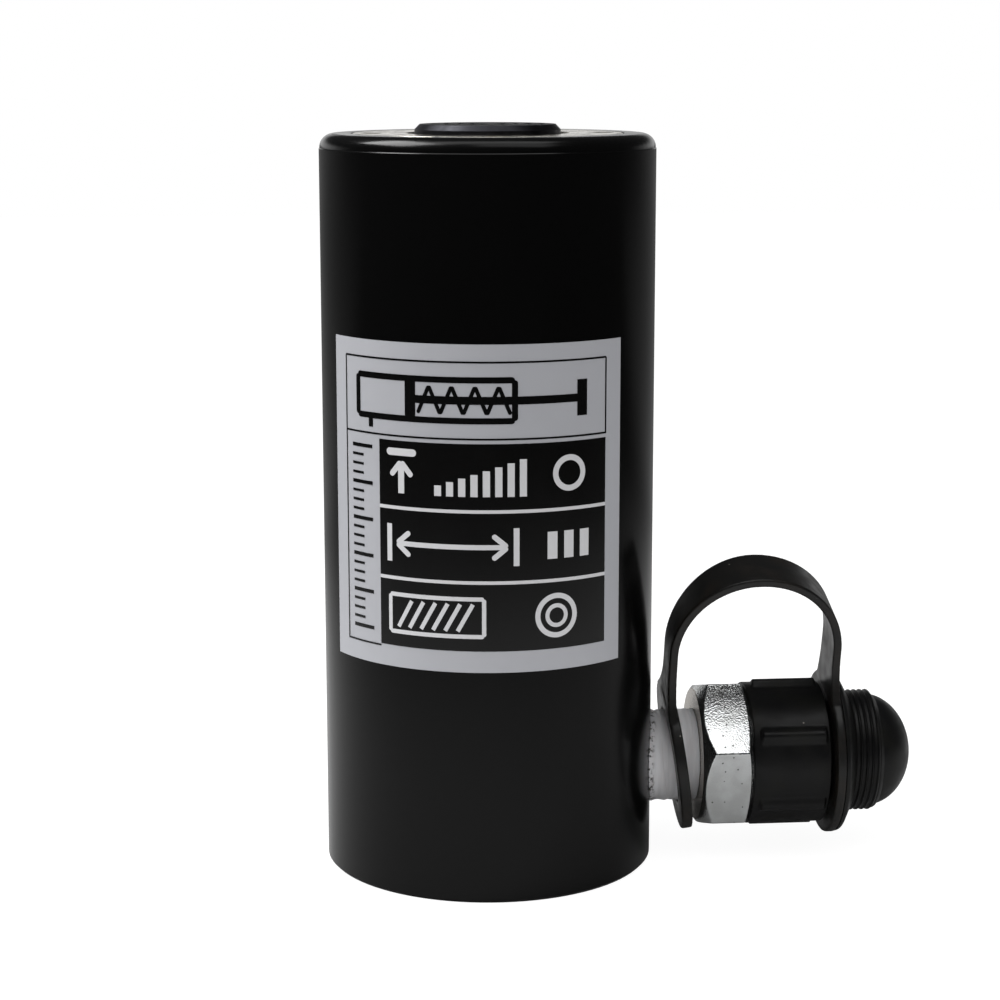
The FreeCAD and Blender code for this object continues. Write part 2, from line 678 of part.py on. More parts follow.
def make_coupler_body(doc):
    """The quick coupler half: pipe stem, hexagon, threaded nose, valve bore, seat and socket."""
    body = coupler_body_frame(new_body(doc, "coupler_body"), "dim.hex_turn")
    hexagon = new_sketch(body, "hexagon", "YZ_Plane", offset=HEX_START)
    draw_hexagon(hexagon, "dim.hex_across_flats")
    pad(body, "hex_bar", hexagon, "dim.hex_length")
    beyond = "(dim.hex_across_flats * 0.6)"
    slope = f"({beyond} - dim.hex_face_radius) * tan(30)"
    for name, face, into in (("near", HEX_START, "+"), ("far", HEX_END, "-")):
        corners = [(face, "dim.hex_face_radius"), (f"{face} {into} {slope}", beyond), (face, beyond)]
        revolve(body, f"hex_chamfer_{name}", corners, axis="H_Axis", cut=True)
    revolve(body, "stem_and_nose", [
        (STEM_END, "0"),
        (STEM_END, "dim.stem_end_radius"),
        (BARREL_RADIUS, "dim.stem_radius"),
        (HEX_END, "dim.stem_radius"),
        (HEX_END, "dim.nose_radius - dim.nose_relief_depth"),
        (RELIEF_END, "dim.nose_radius - dim.nose_relief_depth"),
        (RELIEF_END, "dim.nose_radius"),
        (NOSE_END, "dim.nose_radius"),
        (NOSE_END, "0"),
    ], axis="H_Axis")
    groove_start = f"({CAGE_START} - dim.snap_ring_wire - 2 * dim.seat_gap)"
    groove_root = f"({STEM_BORE} + dim.snap_ring_bite + dim.seat_gap)"
    revolve(body, "valve_bore", [
        (STEM_END, "0"),
        (STEM_END, STEM_BORE),
        (groove_start, STEM_BORE),
        (groove_start, groove_root),
        (CAGE_START, groove_root),
        (CAGE_START, STEM_BORE),
        (SEAT_START, STEM_BORE),
        (SEAT_END, "dim.seat_hole_radius"),
        (SOCKET_START, "dim.seat_hole_radius"),
        (SOCKET_START, "dim.socket_radius"),
        (NOSE_SEAL_START, "dim.socket_radius"),
        (NOSE_SEAL_START, f"{NOSE_SEAL_ROOT} + dim.seat_gap"),
        (NOSE_SEAL_END, f"{NOSE_SEAL_ROOT} + dim.seat_gap"),
        (NOSE_SEAL_END, "dim.socket_radius"),
        (NOSE_END, "dim.socket_radius"),
        (NOSE_END, "0"),
    ], axis="H_Axis", cut=True)
    return body


def make_thread_tape(doc):
    """The tape's sleeve on the stem, cut at its inner end to lie against the round barrel."""
    body = coupler_body_frame(new_body(doc, "thread_tape"))
    inner = "(dim.stem_radius + dim.seat_gap / 2)"
    start = f"({BARREL_RADIUS} - dim.tape_run_in)"
    revolve(body, "wound_sleeve", [
        (start, inner),
        (start, TAPE_RADIUS),
        (TAPE_END, TAPE_RADIUS),
        (TAPE_END, inner),
    ], axis="H_Axis")
    barrel = new_sketch(body, "barrel_circle", "XY_Plane")
    draw_circle(barrel, f"{BARREL_RADIUS} + dim.seat_gap")
    pocket(body, "barrel_side", barrel, f"3 * {TAPE_RADIUS}", midplane=True)
    return body


def make_valve_cage(doc):
    """A pressed cup that holds the spring, with round holes in its floor for the oil."""
    body = coupler_body_frame(new_body(doc, "valve_cage"))
    back = f"({CAGE_START} + dim.seat_gap)"
    floor = f"({back} + dim.cage_floor)"
    revolve(body, "pressed_cup", [
        (back, "0"),
        (back, CAGE_RADIUS),
        (CAGE_END, CAGE_RADIUS),
        (CAGE_END, CAGE_BORE),
        (floor, CAGE_BORE),
        (floor, "0"),
    ], axis="H_Axis")
    circle = new_sketch(body, "flow_circle", "YZ_Plane", offset=floor)
    draw_circle(circle, "dim.cage_hole_radius", "dim.cage_hole_circle - dim.cage_hole_radius")
    hole = pocket(body, "flow_hole", circle, "2 * dim.cage_floor")
    polar(body, "flow_holes", hole, "X_Axis", "dim.cage_hole_count")
    return body


def make_snap_ring(doc):
    """The open wire ring, of square section, that holds the cage in the stem's bore."""
    body = coupler_body_frame(new_body(doc, "valve_snap_ring"))
    low = f"{CAGE_START} - dim.snap_ring_wire - dim.seat_gap"
    high = f"{CAGE_START} - dim.seat_gap"
    outer = f"{STEM_BORE} + dim.snap_ring_bite"
    inner = f"{outer} - 1.5 * dim.snap_ring_wire"
    corners = [(low, inner), (low, outer), (high, outer), (high, inner)]
    revolve(body, "open_ring", corners, axis="H_Axis", angle="dim.snap_ring_angle")
    return body


def make_valve_ball(doc):
    ball = doc.addObject("Part::Sphere", "valve_ball")
    ball.Label = "valve_ball"
    ball.setExpression("Radius", "dim.ball_radius")
    ball.setExpression("Placement.Base.x", BALL_MIDDLE)
    ball.setExpression("Placement.Base.z", "dim.port_height")
    return ball


def make_valve_spring(doc):
    """The small spring between the cage's floor and the back of the ball."""
    body = coupler_body_frame(new_body(doc, "valve_spring"))
    wire = "dim.valve_wire_radius"
    low = f"({CAGE_START} + dim.seat_gap + dim.cage_floor)"
    reach = f"sqrt(pow(dim.ball_radius + {wire}; 2) - pow(dim.valve_spring_radius; 2))"
    high = f"({BALL_MIDDLE} - {reach} + {wire})"
    make_spring(body, "H_Axis", "dim.valve_spring_radius", low, high, wire, "dim.valve_spring_turns")
    return body


def make_coupler_seal(doc):
    body = coupler_body_frame(new_body(doc, "coupler_seal"))
    inner = "dim.socket_radius - dim.nose_seal_squeeze"
    low = f"{NOSE_SEAL_START} + dim.seat_gap"
    high = f"{NOSE_SEAL_END} - dim.seat_gap"
    corners = [(low, inner), (low, NOSE_SEAL_ROOT), (high, NOSE_SEAL_ROOT), (high, inner)]
    revolve(body, "moulded_ring", corners, axis="H_Axis")
    return body


def make_dust_cap(doc):
    """Ribbed sleeve, neck for the ring, conical collar, screwed nose and round dome in one moulding."""
    body = coupler_body_frame(new_body(doc, "dust_cap"), "dim.cap_turn")
    turned = revolve(body, "sleeve_and_nose", [
        (CAP_START, CAP_BORE),
        (CAP_START, CAP_RADIUS),
        (SLEEVE_END, CAP_RADIUS),
        (SLEEVE_END, "dim.cap_neck_radius"),
        (COLLAR_START, "dim.cap_neck_radius"),
        (COLLAR_START, "dim.cap_collar_radius"),
        (COLLAR_END, "dim.cap_collar_tip"),
        (COLLAR_END, "dim.cap_nose_radius"),
        (CAP_NOSE_END, "dim.cap_nose_radius"),
        (CAP_NOSE_END, "0"),
        (CAP_FLOOR, "0"),
        (CAP_FLOOR, CAP_BORE),
    ], axis="H_Axis")
    soften(body, "sleeve_edge", "Fillet", "dim.cap_wall / 4", turned, [
        (CAP_RADIUS, V(1, 0, 0), SLEEVE_END),
    ])
    dome = body.newObject("PartDesign::AdditiveEllipsoid", "dome")
    plane = next(f for f in body.Origin.OriginFeatures if f.Role == "YZ_Plane")
    dome.AttachmentSupport = [(plane, "")]
    dome.MapMode = "FlatFace"
    dome.setExpression("AttachmentOffset.Base.z", CAP_NOSE_END)
    dome.setExpression("Radius1", "dim.dome_length")
    dome.setExpression("Radius2", "dim.dome_radius")
    dome.setExpression("Radius3", "dim.dome_radius")
    dome.Angle1 = 0
    revolve(body, "core", [
        (CAP_FLOOR, "0"),
        (CAP_FLOOR, "dim.cap_core_radius"),
        (CAP_NOSE_END, "dim.cap_core_radius"),
        (CORE_END, "dim.cap_core_radius / 2"),
        (CORE_END, "0"),
    ], axis="H_Axis", cut=True)
    section = new_sketch(body, "rib_section", "YZ_Plane", offset=f"{CAP_START} + dim.rib_offset")
    foot = f"({CAP_BORE} + {CAP_RADIUS}) / 2"
    rib_radius = f"{CAP_RADIUS} + dim.rib_rise"
    half = "dim.rib_width / 2"
    draw_outline(section, [
        (foot, f"-{half}"),
        (rib_radius, f"-{half}"),
        (rib_radius, half),
        (foot, half),
    ])
    rib = pad(body, "rib", section, "dim.rib_length")
    polar(body, "ribs", rib, "X_Axis", "dim.rib_count")
    return body


def draw_arch(sketch):
    """A band of even thickness: two half circles about one centre, with straight legs below them."""
    half = "dim.strap_thickness / 2"
    height = value(sketch, "dim.strap_leg_height")
    foot = value(sketch, LEG_FOOT)
    middle = value(sketch, ARCH_MIDDLE)
    arcs = []
    for sign in ("+", "-"):
        radius = value(sketch, f"{ARCH_RADIUS} {sign} {half}")
        circle = Part.Circle(V(middle, height, 0), V(0, 0, 1), radius)
        arc = sketch.addGeometry(Part.ArcOfCircle(circle, 0, math.pi), False)
        legs = []
        for end, side in ((1, 1), (2, -1)):
            x = middle + side * radius
            leg = sketch.addGeometry(Part.LineSegment(V(x, height, 0), V(x, foot, 0)), False)
            sketch.addConstraint(Sketcher.Constraint("Tangent", arc, end, leg, 1))
            sketch.addConstraint(Sketcher.Constraint("Vertical", leg))
            legs.append(leg)
        index = sketch.addConstraint(Sketcher.Constraint("Radius", arc, radius))
        sketch.setExpression(f"Constraints[{index}]", f"{ARCH_RADIUS} {sign} {half}")
        fix_point(sketch, arc, 3, ARCH_MIDDLE, "dim.strap_leg_height")
        arcs.append(legs)
    for outer, inner in zip(*arcs):
        start = sketch.getPoint(outer, 2)
        stop = sketch.getPoint(inner, 2)
        foot_line = sketch.addGeometry(Part.LineSegment(start, stop), False)
        sketch.addConstraint(Sketcher.Constraint("Coincident", foot_line, 1, outer, 2))
        sketch.addConstraint(Sketcher.Constraint("Coincident", foot_line, 2, inner, 2))
        sketch.addConstraint(Sketcher.Constraint("Horizontal", foot_line))
        index = sketch.addConstraint(Sketcher.Constraint("DistanceY", -1, 1, foot_line, 1, foot))
        sketch.setExpression(f"Constraints[{index}]", LEG_FOOT)


def make_cap_strap(doc):
    """One soft moulding: the arch, a ring round the cap's neck and a loose ring round the taped stem."""
    body = coupler_body_frame(new_body(doc, "cap_strap"), "dim.strap_lean")
    arch = new_sketch(body, "arch", "XZ_Plane")
    draw_arch(arch)
    pad(body, "band", arch, "dim.strap_width", midplane=True)
    thickness = "dim.strap_thickness"
    half = f"{thickness} / 2"
    rings = (
        ("cap", CAP_RING_START, None, "dim.cap_ring_radius", "dim.cap_neck_radius + dim.loose_gap"),
        ("neck", NECK_RING_MIDDLE, "dim.neck_ring_tilt", "dim.neck_ring_radius", "dim.neck_ring_hole"),
    )
    wide = "dim.tab_width / 2"
    slim = "dim.strap_width / 2"
    for name, place, tilt, radius, hole in rings:
        disc = new_sketch(body, f"{name}_ring_circles", "YZ_Plane", offset=place, tilt=tilt)
        draw_circle(disc, radius)
        draw_circle(disc, hole)
        pad(body, f"{name}_ring", disc, "dim.strap_ring_thickness", midplane=tilt is not None)
        leg = f"{LEFT_LEG} - {half}" if tilt else place
        tab = new_sketch(body, f"{name}_tab_outline", "YZ_Plane", offset=leg)
        low = f"({hole} + {radius}) / 2"
        shoulder = f"{radius} + dim.tab_height - dim.tab_taper"
        top = f"{radius} + dim.tab_height"
        draw_outline(tab, [
            (f"-{wide}", low),
            (wide, low),
            (wide, shoulder),
            (slim, top),
            (f"-{slim}", top),
            (f"-{wide}", shoulder),
        ])
        pad(body, f"{name}_tab", tab, thickness)
    return body


def check_model(doc, pieces):
    """Stops if any object failed or any piece isn't a valid solid."""
    for item in doc.Objects:
        if "Invalid" in item.State or "Error" in item.State:
            raise RuntimeError(f"{item.Label} failed: {item.State}")
    for piece in pieces:
        if piece.Shape.isNull() or not piece.Shape.isValid() or not piece.Shape.Solids:
            raise RuntimeError(f"{piece.Label} has no valid solid")


def main():
    doc = FreeCAD.newDocument("hydraulic_cylinder")
    make_sheet(doc)
    pieces = [
        make_cylinder_body(doc),
        make_gland_nut(doc),
        make_rod_bearing(doc),
        make_rod_wiper(doc),
        make_plunger(doc),
        make_piston_seal(doc),
        *make_head_rings(doc),
        *make_spring_washers(doc),
        make_return_spring(doc),
        make_saddle(doc),
        make_saddle_o_ring(doc),
        make_label_plate(doc),
        make_coupler_body(doc),
        make_thread_tape(doc),
        make_valve_cage(doc),
        make_snap_ring(doc),
        make_valve_ball(doc),
        make_valve_spring(doc),
        make_coupler_seal(doc),
        make_dust_cap(doc),
        make_cap_strap(doc),
    ]
    doc.recompute()
    check_model(doc, pieces)
    os.makedirs("parts", exist_ok=True)
    for piece in pieces:
        piece.Shape.exportStep(f"parts/{piece.Label}.step")


main()
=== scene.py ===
import logging
import math
from abc import ABC, abstractmethod
from collections.abc import Callable, Sequence
from dataclasses import dataclass, field
from enum import Enum
from typing import Any

import bmesh
import bpy
import numpy as np
from mathutils import Matrix


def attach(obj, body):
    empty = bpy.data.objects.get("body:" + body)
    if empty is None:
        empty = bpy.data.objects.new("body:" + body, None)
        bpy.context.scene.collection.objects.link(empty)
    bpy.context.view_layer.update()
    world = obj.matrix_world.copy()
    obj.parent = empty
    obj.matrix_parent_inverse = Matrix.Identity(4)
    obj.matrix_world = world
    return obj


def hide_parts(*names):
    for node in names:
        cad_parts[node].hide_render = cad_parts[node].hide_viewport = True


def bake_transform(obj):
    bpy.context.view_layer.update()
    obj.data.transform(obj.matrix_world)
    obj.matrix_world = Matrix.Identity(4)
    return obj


# The looks of a short single acting hydraulic cylinder: a black anodised barrel with a wrapped label,
# a plated coupler with a ribbed dust cap, and a rubber strap between the two.
# Sizes are in millimetres and become metres when a mesh is made. +Z is the barrel's axis, +X the coupler's.

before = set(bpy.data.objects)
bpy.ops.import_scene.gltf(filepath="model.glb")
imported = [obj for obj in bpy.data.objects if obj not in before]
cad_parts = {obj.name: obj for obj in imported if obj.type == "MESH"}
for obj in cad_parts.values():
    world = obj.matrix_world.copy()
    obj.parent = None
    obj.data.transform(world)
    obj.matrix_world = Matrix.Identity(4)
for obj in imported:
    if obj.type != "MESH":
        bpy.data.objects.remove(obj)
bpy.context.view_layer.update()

log = logging.getLogger("hydraulic_cylinder")

MM = 0.001
FULL_TURN = 2.0 * math.pi
SHARP_ANGLE = math.radians(32.0)
MERGE_DISTANCE = 2.0e-6

Input = float | tuple[float, ...] | bpy.types.NodeSocket


class Axis(Enum):
    """The line that a piece is turned about."""

    BARREL = "up through the barrel"
    COUPLER = "out through the coupler"


class Body(Enum):
    """The moving groups of the cylinder."""

    BARREL = "barrel"
    PLUNGER = "plunger"
    VALVE = "valve"
    STRAP = "strap"
    CAP = "cap"


# Shapes on a grid


@dataclass(frozen=True)
class Shell:
    """A closed skin: a grid of points in mm, and whether its rows and columns run round to their start."""

    points: np.ndarray
    ring_rows: bool = False
    ring_columns: bool = True


def rounded_outline(corners: Sequence[tuple[float, float, float]], closed: bool, steps: int = 5) -> np.ndarray:
    """Joins corners by straight runs and rounds each one by an arc that touches both runs.

    Args:
        corners: distance along the axis, radius, and the arc's radius, in mm.
        closed: whether the last corner joins the first.
        steps: points on each arc.

    Returns:
        Points in order, one row each.
    """
    places = np.array([corner[:2] for corner in corners], float)
    pieces = []
    for index, (place, (_, _, size)) in enumerate(zip(places, corners)):
        is_end = not closed and index in (0, len(places) - 1)
        if size == 0.0 or is_end:
            pieces.append(place[None])
            continue
        before = places[index - 1] - place
        after = places[(index + 1) % len(places)] - place
        before_length, after_length = np.linalg.norm(before), np.linalg.norm(after)
        before, after = before / before_length, after / after_length
        half = 0.5 * math.acos(float(np.clip(before @ after, -1.0, 1.0)))
        reach = min(size / math.tan(half), 0.48 * before_length, 0.48 * after_length)
        share = np.linspace(0.0, 1.0, steps)[:, None]
        middle = (before + after) / np.linalg.norm(before + after)
        centre = place + middle * reach / math.cos(half)
        start, stop = place + before * reach - centre, place + after * reach - centre
        radius = reach * math.tan(half)
        arc = (1.0 - share) * start + share * stop
        pieces.append(centre + radius * arc / np.linalg.norm(arc, axis=1, keepdims=True))
    return np.vstack(pieces)


def turned(along: np.ndarray, radius: np.ndarray, angles: np.ndarray, axis: Axis, height: float = 0.0) -> np.ndarray:
    """Places points at a radius round an axis: rows run along the outline, columns round the axis.

    On the barrel a point is (r cos t, r sin t, along). On the coupler it is (along, -r cos t, height + r sin t),
    so that t rises from the front towards the top.

    Args:
        along: distances along the axis, one a row or one a point.
        radius: radii, one a row or one a point.
        angles: angles of the columns in radians.
        axis: the axis that the piece is turned about.
        height: the coupler axis's height in mm.

    Returns:
        A grid of points, rows x columns x 3.
    """
    shape = (len(along), len(angles))
    grid_along = np.broadcast_to(along if along.ndim == 2 else along[:, None], shape)
    grid_radius = np.broadcast_to(radius if radius.ndim == 2 else radius[:, None], shape)
    first, second = grid_radius * np.cos(angles), grid_radius * np.sin(angles)
    if axis is Axis.BARREL:
        return np.stack([first, second, grid_along], axis=-1)
    return np.stack([grid_along, -first, height + second], axis=-1)


def ease(low: float, high: float, value: np.ndarray) -> np.ndarray:
    """Rises smoothly from 0 at low to 1 at high, as 3t^2 - 2t^3."""
    share = np.clip((value - low) / (high - low), 0.0, 1.0)
    return share * share * (3.0 - 2.0 * share)


def tube(path: np.ndarray, sideways: np.ndarray, upright: np.ndarray, section: np.ndarray) -> np.ndarray:
    """Carries a closed section along a path and closes both ends to a point.

    Each point is path + a * sideways + b * upright for the section's (a, b).

    Args:
        path: the section's centres in mm.
        sideways: unit vectors across the path, one a centre.
        upright: unit vectors square to both, one a centre.
        section: points (a, b) in mm, one set for all centres or one set each.

    Returns:
        A grid of points whose columns run round the section.
    """
    sets = np.broadcast_to(section, (len(path), *section.shape[-2:]))
    rows = path[:, None] + sets[..., :1] * sideways[:, None] + sets[..., 1:] * upright[:, None]
    first, last = rows[:1].mean(axis=1, keepdims=True), rows[-1:].mean(axis=1, keepdims=True)
    width = rows.shape[1]
    return np.vstack([np.repeat(first, width, axis=1), rows, np.repeat(last, width, axis=1)])


def shell_faces(shell: Shell) -> tuple[np.ndarray, np.ndarray]:
    """Joins each point of a grid to its neighbours in the next row and column.

    Args:
        shell: the grid.

    Returns:
        The points, one a row, and the quads that index them.
    """
    rows, columns = shell.points.shape[:2]
    index = np.arange(rows * columns).reshape(rows, columns)
    if shell.ring_rows:
        index = np.vstack([index, index[:1]])
    if shell.ring_columns:
        index = np.hstack([index, index[:, :1]])
    quads = np.stack([index[:-1, :-1], index[:-1, 1:], index[1:, 1:], index[1:, :-1]], axis=-1)
    return shell.points.reshape(-1, 3), quads.reshape(-1, 4)


def close_mesh(mesh: bpy.types.Mesh) -> None:
    """Merges seams and poles, turns the faces outwards and smooths all but the sharp edges."""
    work = bmesh.new()
    work.from_mesh(mesh)
    bmesh.ops.remove_doubles(work, verts=work.verts, dist=MERGE_DISTANCE)
    bmesh.ops.dissolve_degenerate(work, edges=work.edges, dist=MERGE_DISTANCE / 4.0)
    bmesh.ops.recalc_face_normals(work, faces=work.faces)
    work.to_mesh(mesh)
    work.free()
    mesh.shade_smooth()
    mesh.set_sharp_from_angle(angle=SHARP_ANGLE)


def make_piece(name: str, shells: Sequence[Shell]) -> bpy.types.Object:
    """Makes one object of closed skins, at the origin, with its place in its mesh.

    Args:
        name: the piece's name.
        shells: its skins in mm.

    Returns:
        The new object, in the scene.
    """
    points, quads, offset = [], [], 0
    for shell in shells:
        places, faces = shell_faces(shell)
        points.append(places)
        quads.append(faces + offset)
        offset += len(places)
    mesh = bpy.data.meshes.new(name)
    mesh.from_pydata(np.vstack(points) * MM, [], np.vstack(quads).tolist())
    close_mesh(mesh)
    piece = bpy.data.objects.new(name, mesh)
    bpy.context.scene.collection.objects.link(piece)
    return piece


def settle(piece: bpy.types.Object, *modifiers: tuple[str, dict[str, Any]]) -> None:
    """Adds modifiers in turn and keeps their result as the piece's mesh.

    Args:
        piece: the piece to finish.
        modifiers: each one's type and settings.
    """
    for kind, settings in modifiers:
        modifier = piece.modifiers.new(kind.title(), kind)
        for key, value in settings.items():
            setattr(modifier, key, value)
    depsgraph = bpy.context.evaluated_depsgraph_get()
    result = bpy.data.meshes.new_from_object(piece.evaluated_get(depsgraph))
    piece.modifiers.clear()
    piece.data = result
    piece.data.shade_smooth()


# Colours and nodes


def linear(hex_colour: str) -> tuple[float, float, float, float]:
    """Turns an sRGB hex colour into Blender's linear one.

    Args:
        hex_colour: six hex digits after a hash.

    Returns:
        Linear red, green, blue and full alpha.
    """
    channels = (int(hex_colour[i:i + 2], 16) / 255.0 for i in (1, 3, 5))
    red, green, blue = (c / 12.92 if c <= 0.04045 else ((c + 0.055) / 1.055) ** 2.4 for c in channels)
    return red, green, blue, 1.0


def per_feature(size: float) -> float:
    """The texture scale, in cycles a metre, of a feature of that size in mm."""
    return 1.0 / (size * MM)


def add_node(tree: bpy.types.NodeTree, kind: str, inputs: dict[str | int, Input] | None = None,
             **settings: Any) -> bpy.types.Node:
    """Adds a node with its settings and links.

    Args:
        tree: the node tree.
        kind: the node's type.
        inputs: a value, or the socket that feeds it, for each input's name or number.
        settings: the node's own properties.

    Returns:
        The new node.
    """
    node = tree.nodes.new(kind)
    for key, value in settings.items():
        setattr(node, key, value)
    for key, value in (inputs or {}).items():
        if isinstance(value, bpy.types.NodeSocket):
            tree.links.new(value, node.inputs[key])
        else:
            node.inputs[key].default_value = value
    return node


@dataclass(frozen=True)
class Finish(ABC):
    """What a surface is made of and how it was made."""

    name: str
    colour: str
    metallic: float
    roughness: float
    slot: str

    def material(self) -> bpy.types.Material:
        """The finish's material, made once and shared by its pieces."""
        made = bpy.data.materials.get(self.name)
        if made is not None:
            return made
        made = bpy.data.materials.new(self.name)
        made.use_nodes = True
        made.diffuse_color = linear(self.colour)
        tree = made.node_tree
        tree.nodes.clear()
        shader = add_node(tree, "ShaderNodeBsdfPrincipled", {
            "Base Color": linear(self.colour), "Metallic": self.metallic, "Roughness": self.roughness,
        })
        add_node(tree, "ShaderNodeOutputMaterial", {"Surface": shader.outputs["BSDF"]})
        place = add_node(tree, "ShaderNodeTexCoord").outputs["Object"]
        self.detail(tree, shader, place)
        return made

    @abstractmethod
    def detail(self, tree: bpy.types.NodeTree, shader: bpy.types.Node, place: bpy.types.NodeSocket) -> None:
        """Adds the finish's own colour, roughness and relief.

        Args:
            tree: the material's nodes.
            shader: its Principled shader.
            place: the point's Object coordinates in metres.
        """

    def dress(self, piece: bpy.types.Object) -> None:
        """Puts the finish on every face of a piece or a carried-over node."""
        made = self.material()
        if piece.material_slots:
            for holder in piece.material_slots:
                holder.material = made
        else:
            piece.data.materials.append(made)


def mix_colour(tree: bpy.types.NodeTree, factor: Input, first: Input, second: Input) -> bpy.types.NodeSocket:
    """A colour that goes from first to second as factor goes from 0 to 1."""
    node = add_node(tree, "ShaderNodeMix", {"Factor": factor, 6: first, 7: second}, data_type="RGBA")
    return node.outputs[2]


def remap(tree: bpy.types.NodeTree, value: bpy.types.NodeSocket, source: tuple[float, float],
          target: tuple[float, float] = (0.0, 1.0)) -> bpy.types.NodeSocket:
    """A value that goes smoothly over target as the given one goes over source."""
    node = add_node(tree, "ShaderNodeMapRange", {
        "Value": value, "From Min": source[0], "From Max": source[1], "To Min": target[0], "To Max": target[1],
    }, interpolation_type="SMOOTHSTEP")
    return node.outputs["Result"]


def noise(tree: bpy.types.NodeTree, place: bpy.types.NodeSocket, size: float, detail: float = 2.0,
          stretch: tuple[float, float, float] = (1.0, 1.0, 1.0)) -> bpy.types.NodeSocket:
    """Cloudy noise with features of that size in mm, longer along an axis whose stretch is below 1."""
    spread = add_node(tree, "ShaderNodeMapping", {"Vector": place, "Scale": stretch})
    node = add_node(tree, "ShaderNodeTexNoise", {
        "Vector": spread.outputs["Vector"], "Scale": per_feature(size), "Detail": detail,
    })
    return node.outputs["Fac"]


def radial_distance(tree: bpy.types.NodeTree, place: bpy.types.NodeSocket, keep: tuple[float, float, float],
                    centre: tuple[float, float, float] = (0.0, 0.0, 0.0)) -> bpy.types.NodeSocket:
    """The distance in metres from an axis: the length of (place - centre) with the axis's own part left out."""
    shifted = add_node(tree, "ShaderNodeVectorMath", {0: place, 1: centre}, operation="SUBTRACT")
    flat = add_node(tree, "ShaderNodeVectorMath", {0: shifted.outputs["Vector"], 1: keep}, operation="MULTIPLY")
    node = add_node(tree, "ShaderNodeVectorMath", {0: flat.outputs["Vector"]}, operation="LENGTH")
    return node.outputs["Value"]


def relief(tree: bpy.types.NodeTree, height: bpy.types.NodeSocket, depth: float,
           under: bpy.types.NodeSocket | None = None) -> bpy.types.NodeSocket:
    """A bumped normal whose height of 1 stands for that depth in mm, over another bump if one is given."""
    inputs: dict[str | int, Input] = {"Height": height, "Distance": depth * MM, "Strength": 1.0}
    if under is not None:
        inputs["Normal"] = under
    return add_node(tree, "ShaderNodeBump", inputs).outputs["Normal"]


def specks(tree: bpy.types.NodeTree, place: bpy.types.NodeSocket, spacing: float, size: float) -> bpy.types.NodeSocket:
    """A mask of small round specks, about one in each cell of the spacing, both in mm."""
    cells = add_node(tree, "ShaderNodeTexVoronoi", {"Vector": place, "Scale": per_feature(spacing)})
    edge = size / spacing
    return remap(tree, cells.outputs["Distance"], (edge, 0.6 * edge))


@dataclass(frozen=True)
class BlackAnodised(Finish):
    """Hard anodised aluminium, turned first: near black and semi-gloss, with faint rings and dust."""

    ring_spacing: float = 0.35
    ring_depth: float = 0.0006
    smear_size: float = 24.0
    dust_spacing: float = 19.0
    dust_size: float = 0.24

    def detail(self, tree: bpy.types.NodeTree, shader: bpy.types.Node, place: bpy.types.NodeSocket) -> None:
        """Tool rings are noise stretched round the barrel, and rubbed patches change the gloss a little."""
        rings = noise(tree, place, self.ring_spacing, 2.0, (0.01, 0.01, 1.0))
        smears = noise(tree, place, self.smear_size, 3.0, (1.0, 1.0, 0.35))
        tree.links.new(remap(tree, smears, (0.3, 0.75), (self.roughness - 0.03, self.roughness + 0.05)),
                       shader.inputs["Roughness"])
        dust = specks(tree, place, self.dust_spacing, self.dust_size)
        tree.links.new(mix_colour(tree, dust, linear(self.colour), linear("#6A6A68")), shader.inputs["Base Color"])
        tree.links.new(relief(tree, rings, self.ring_depth), shader.inputs["Normal"])
        shader.inputs["Specular IOR Level"].default_value = 0.19


@dataclass(frozen=True)
class TurnedMetal(Finish):
    """A face turned on a lathe: fine rings round the barrel's axis and stains from oil and handling."""

    stain: str = "#7A6A4C"
    stain_share: float = 0.5
    ring_spacing: float = 0.45
    ring_depth: float = 0.004
    stain_size: float = 5.0

    def detail(self, tree: bpy.types.NodeTree, shader: bpy.types.Node, place: bpy.types.NodeSocket) -> None:
        """Rings are waves of the distance from the axis, and stains are two sizes of cloudy noise."""
        distance = radial_distance(tree, place, (1.0, 1.0, 0.0))
        phase = add_node(tree, "ShaderNodeMath", {0: distance, 1: FULL_TURN * per_feature(self.ring_spacing)},
                         operation="MULTIPLY")
        rings = add_node(tree, "ShaderNodeMath", {0: phase.outputs[0]}, operation="SINE")
        stains = remap(tree, noise(tree, place, self.stain_size, 5.0), (0.42, 0.68), (0.0, self.stain_share))
        tree.links.new(mix_colour(tree, stains, linear(self.colour), linear(self.stain)),
                       shader.inputs["Base Color"])
        tree.links.new(remap(tree, noise(tree, place, 2.0, 3.0), (0.3, 0.7),
                             (self.roughness - 0.06, self.roughness + 0.1)), shader.inputs["Roughness"])
        tree.links.new(relief(tree, rings.outputs[0], self.ring_depth), shader.inputs["Normal"])


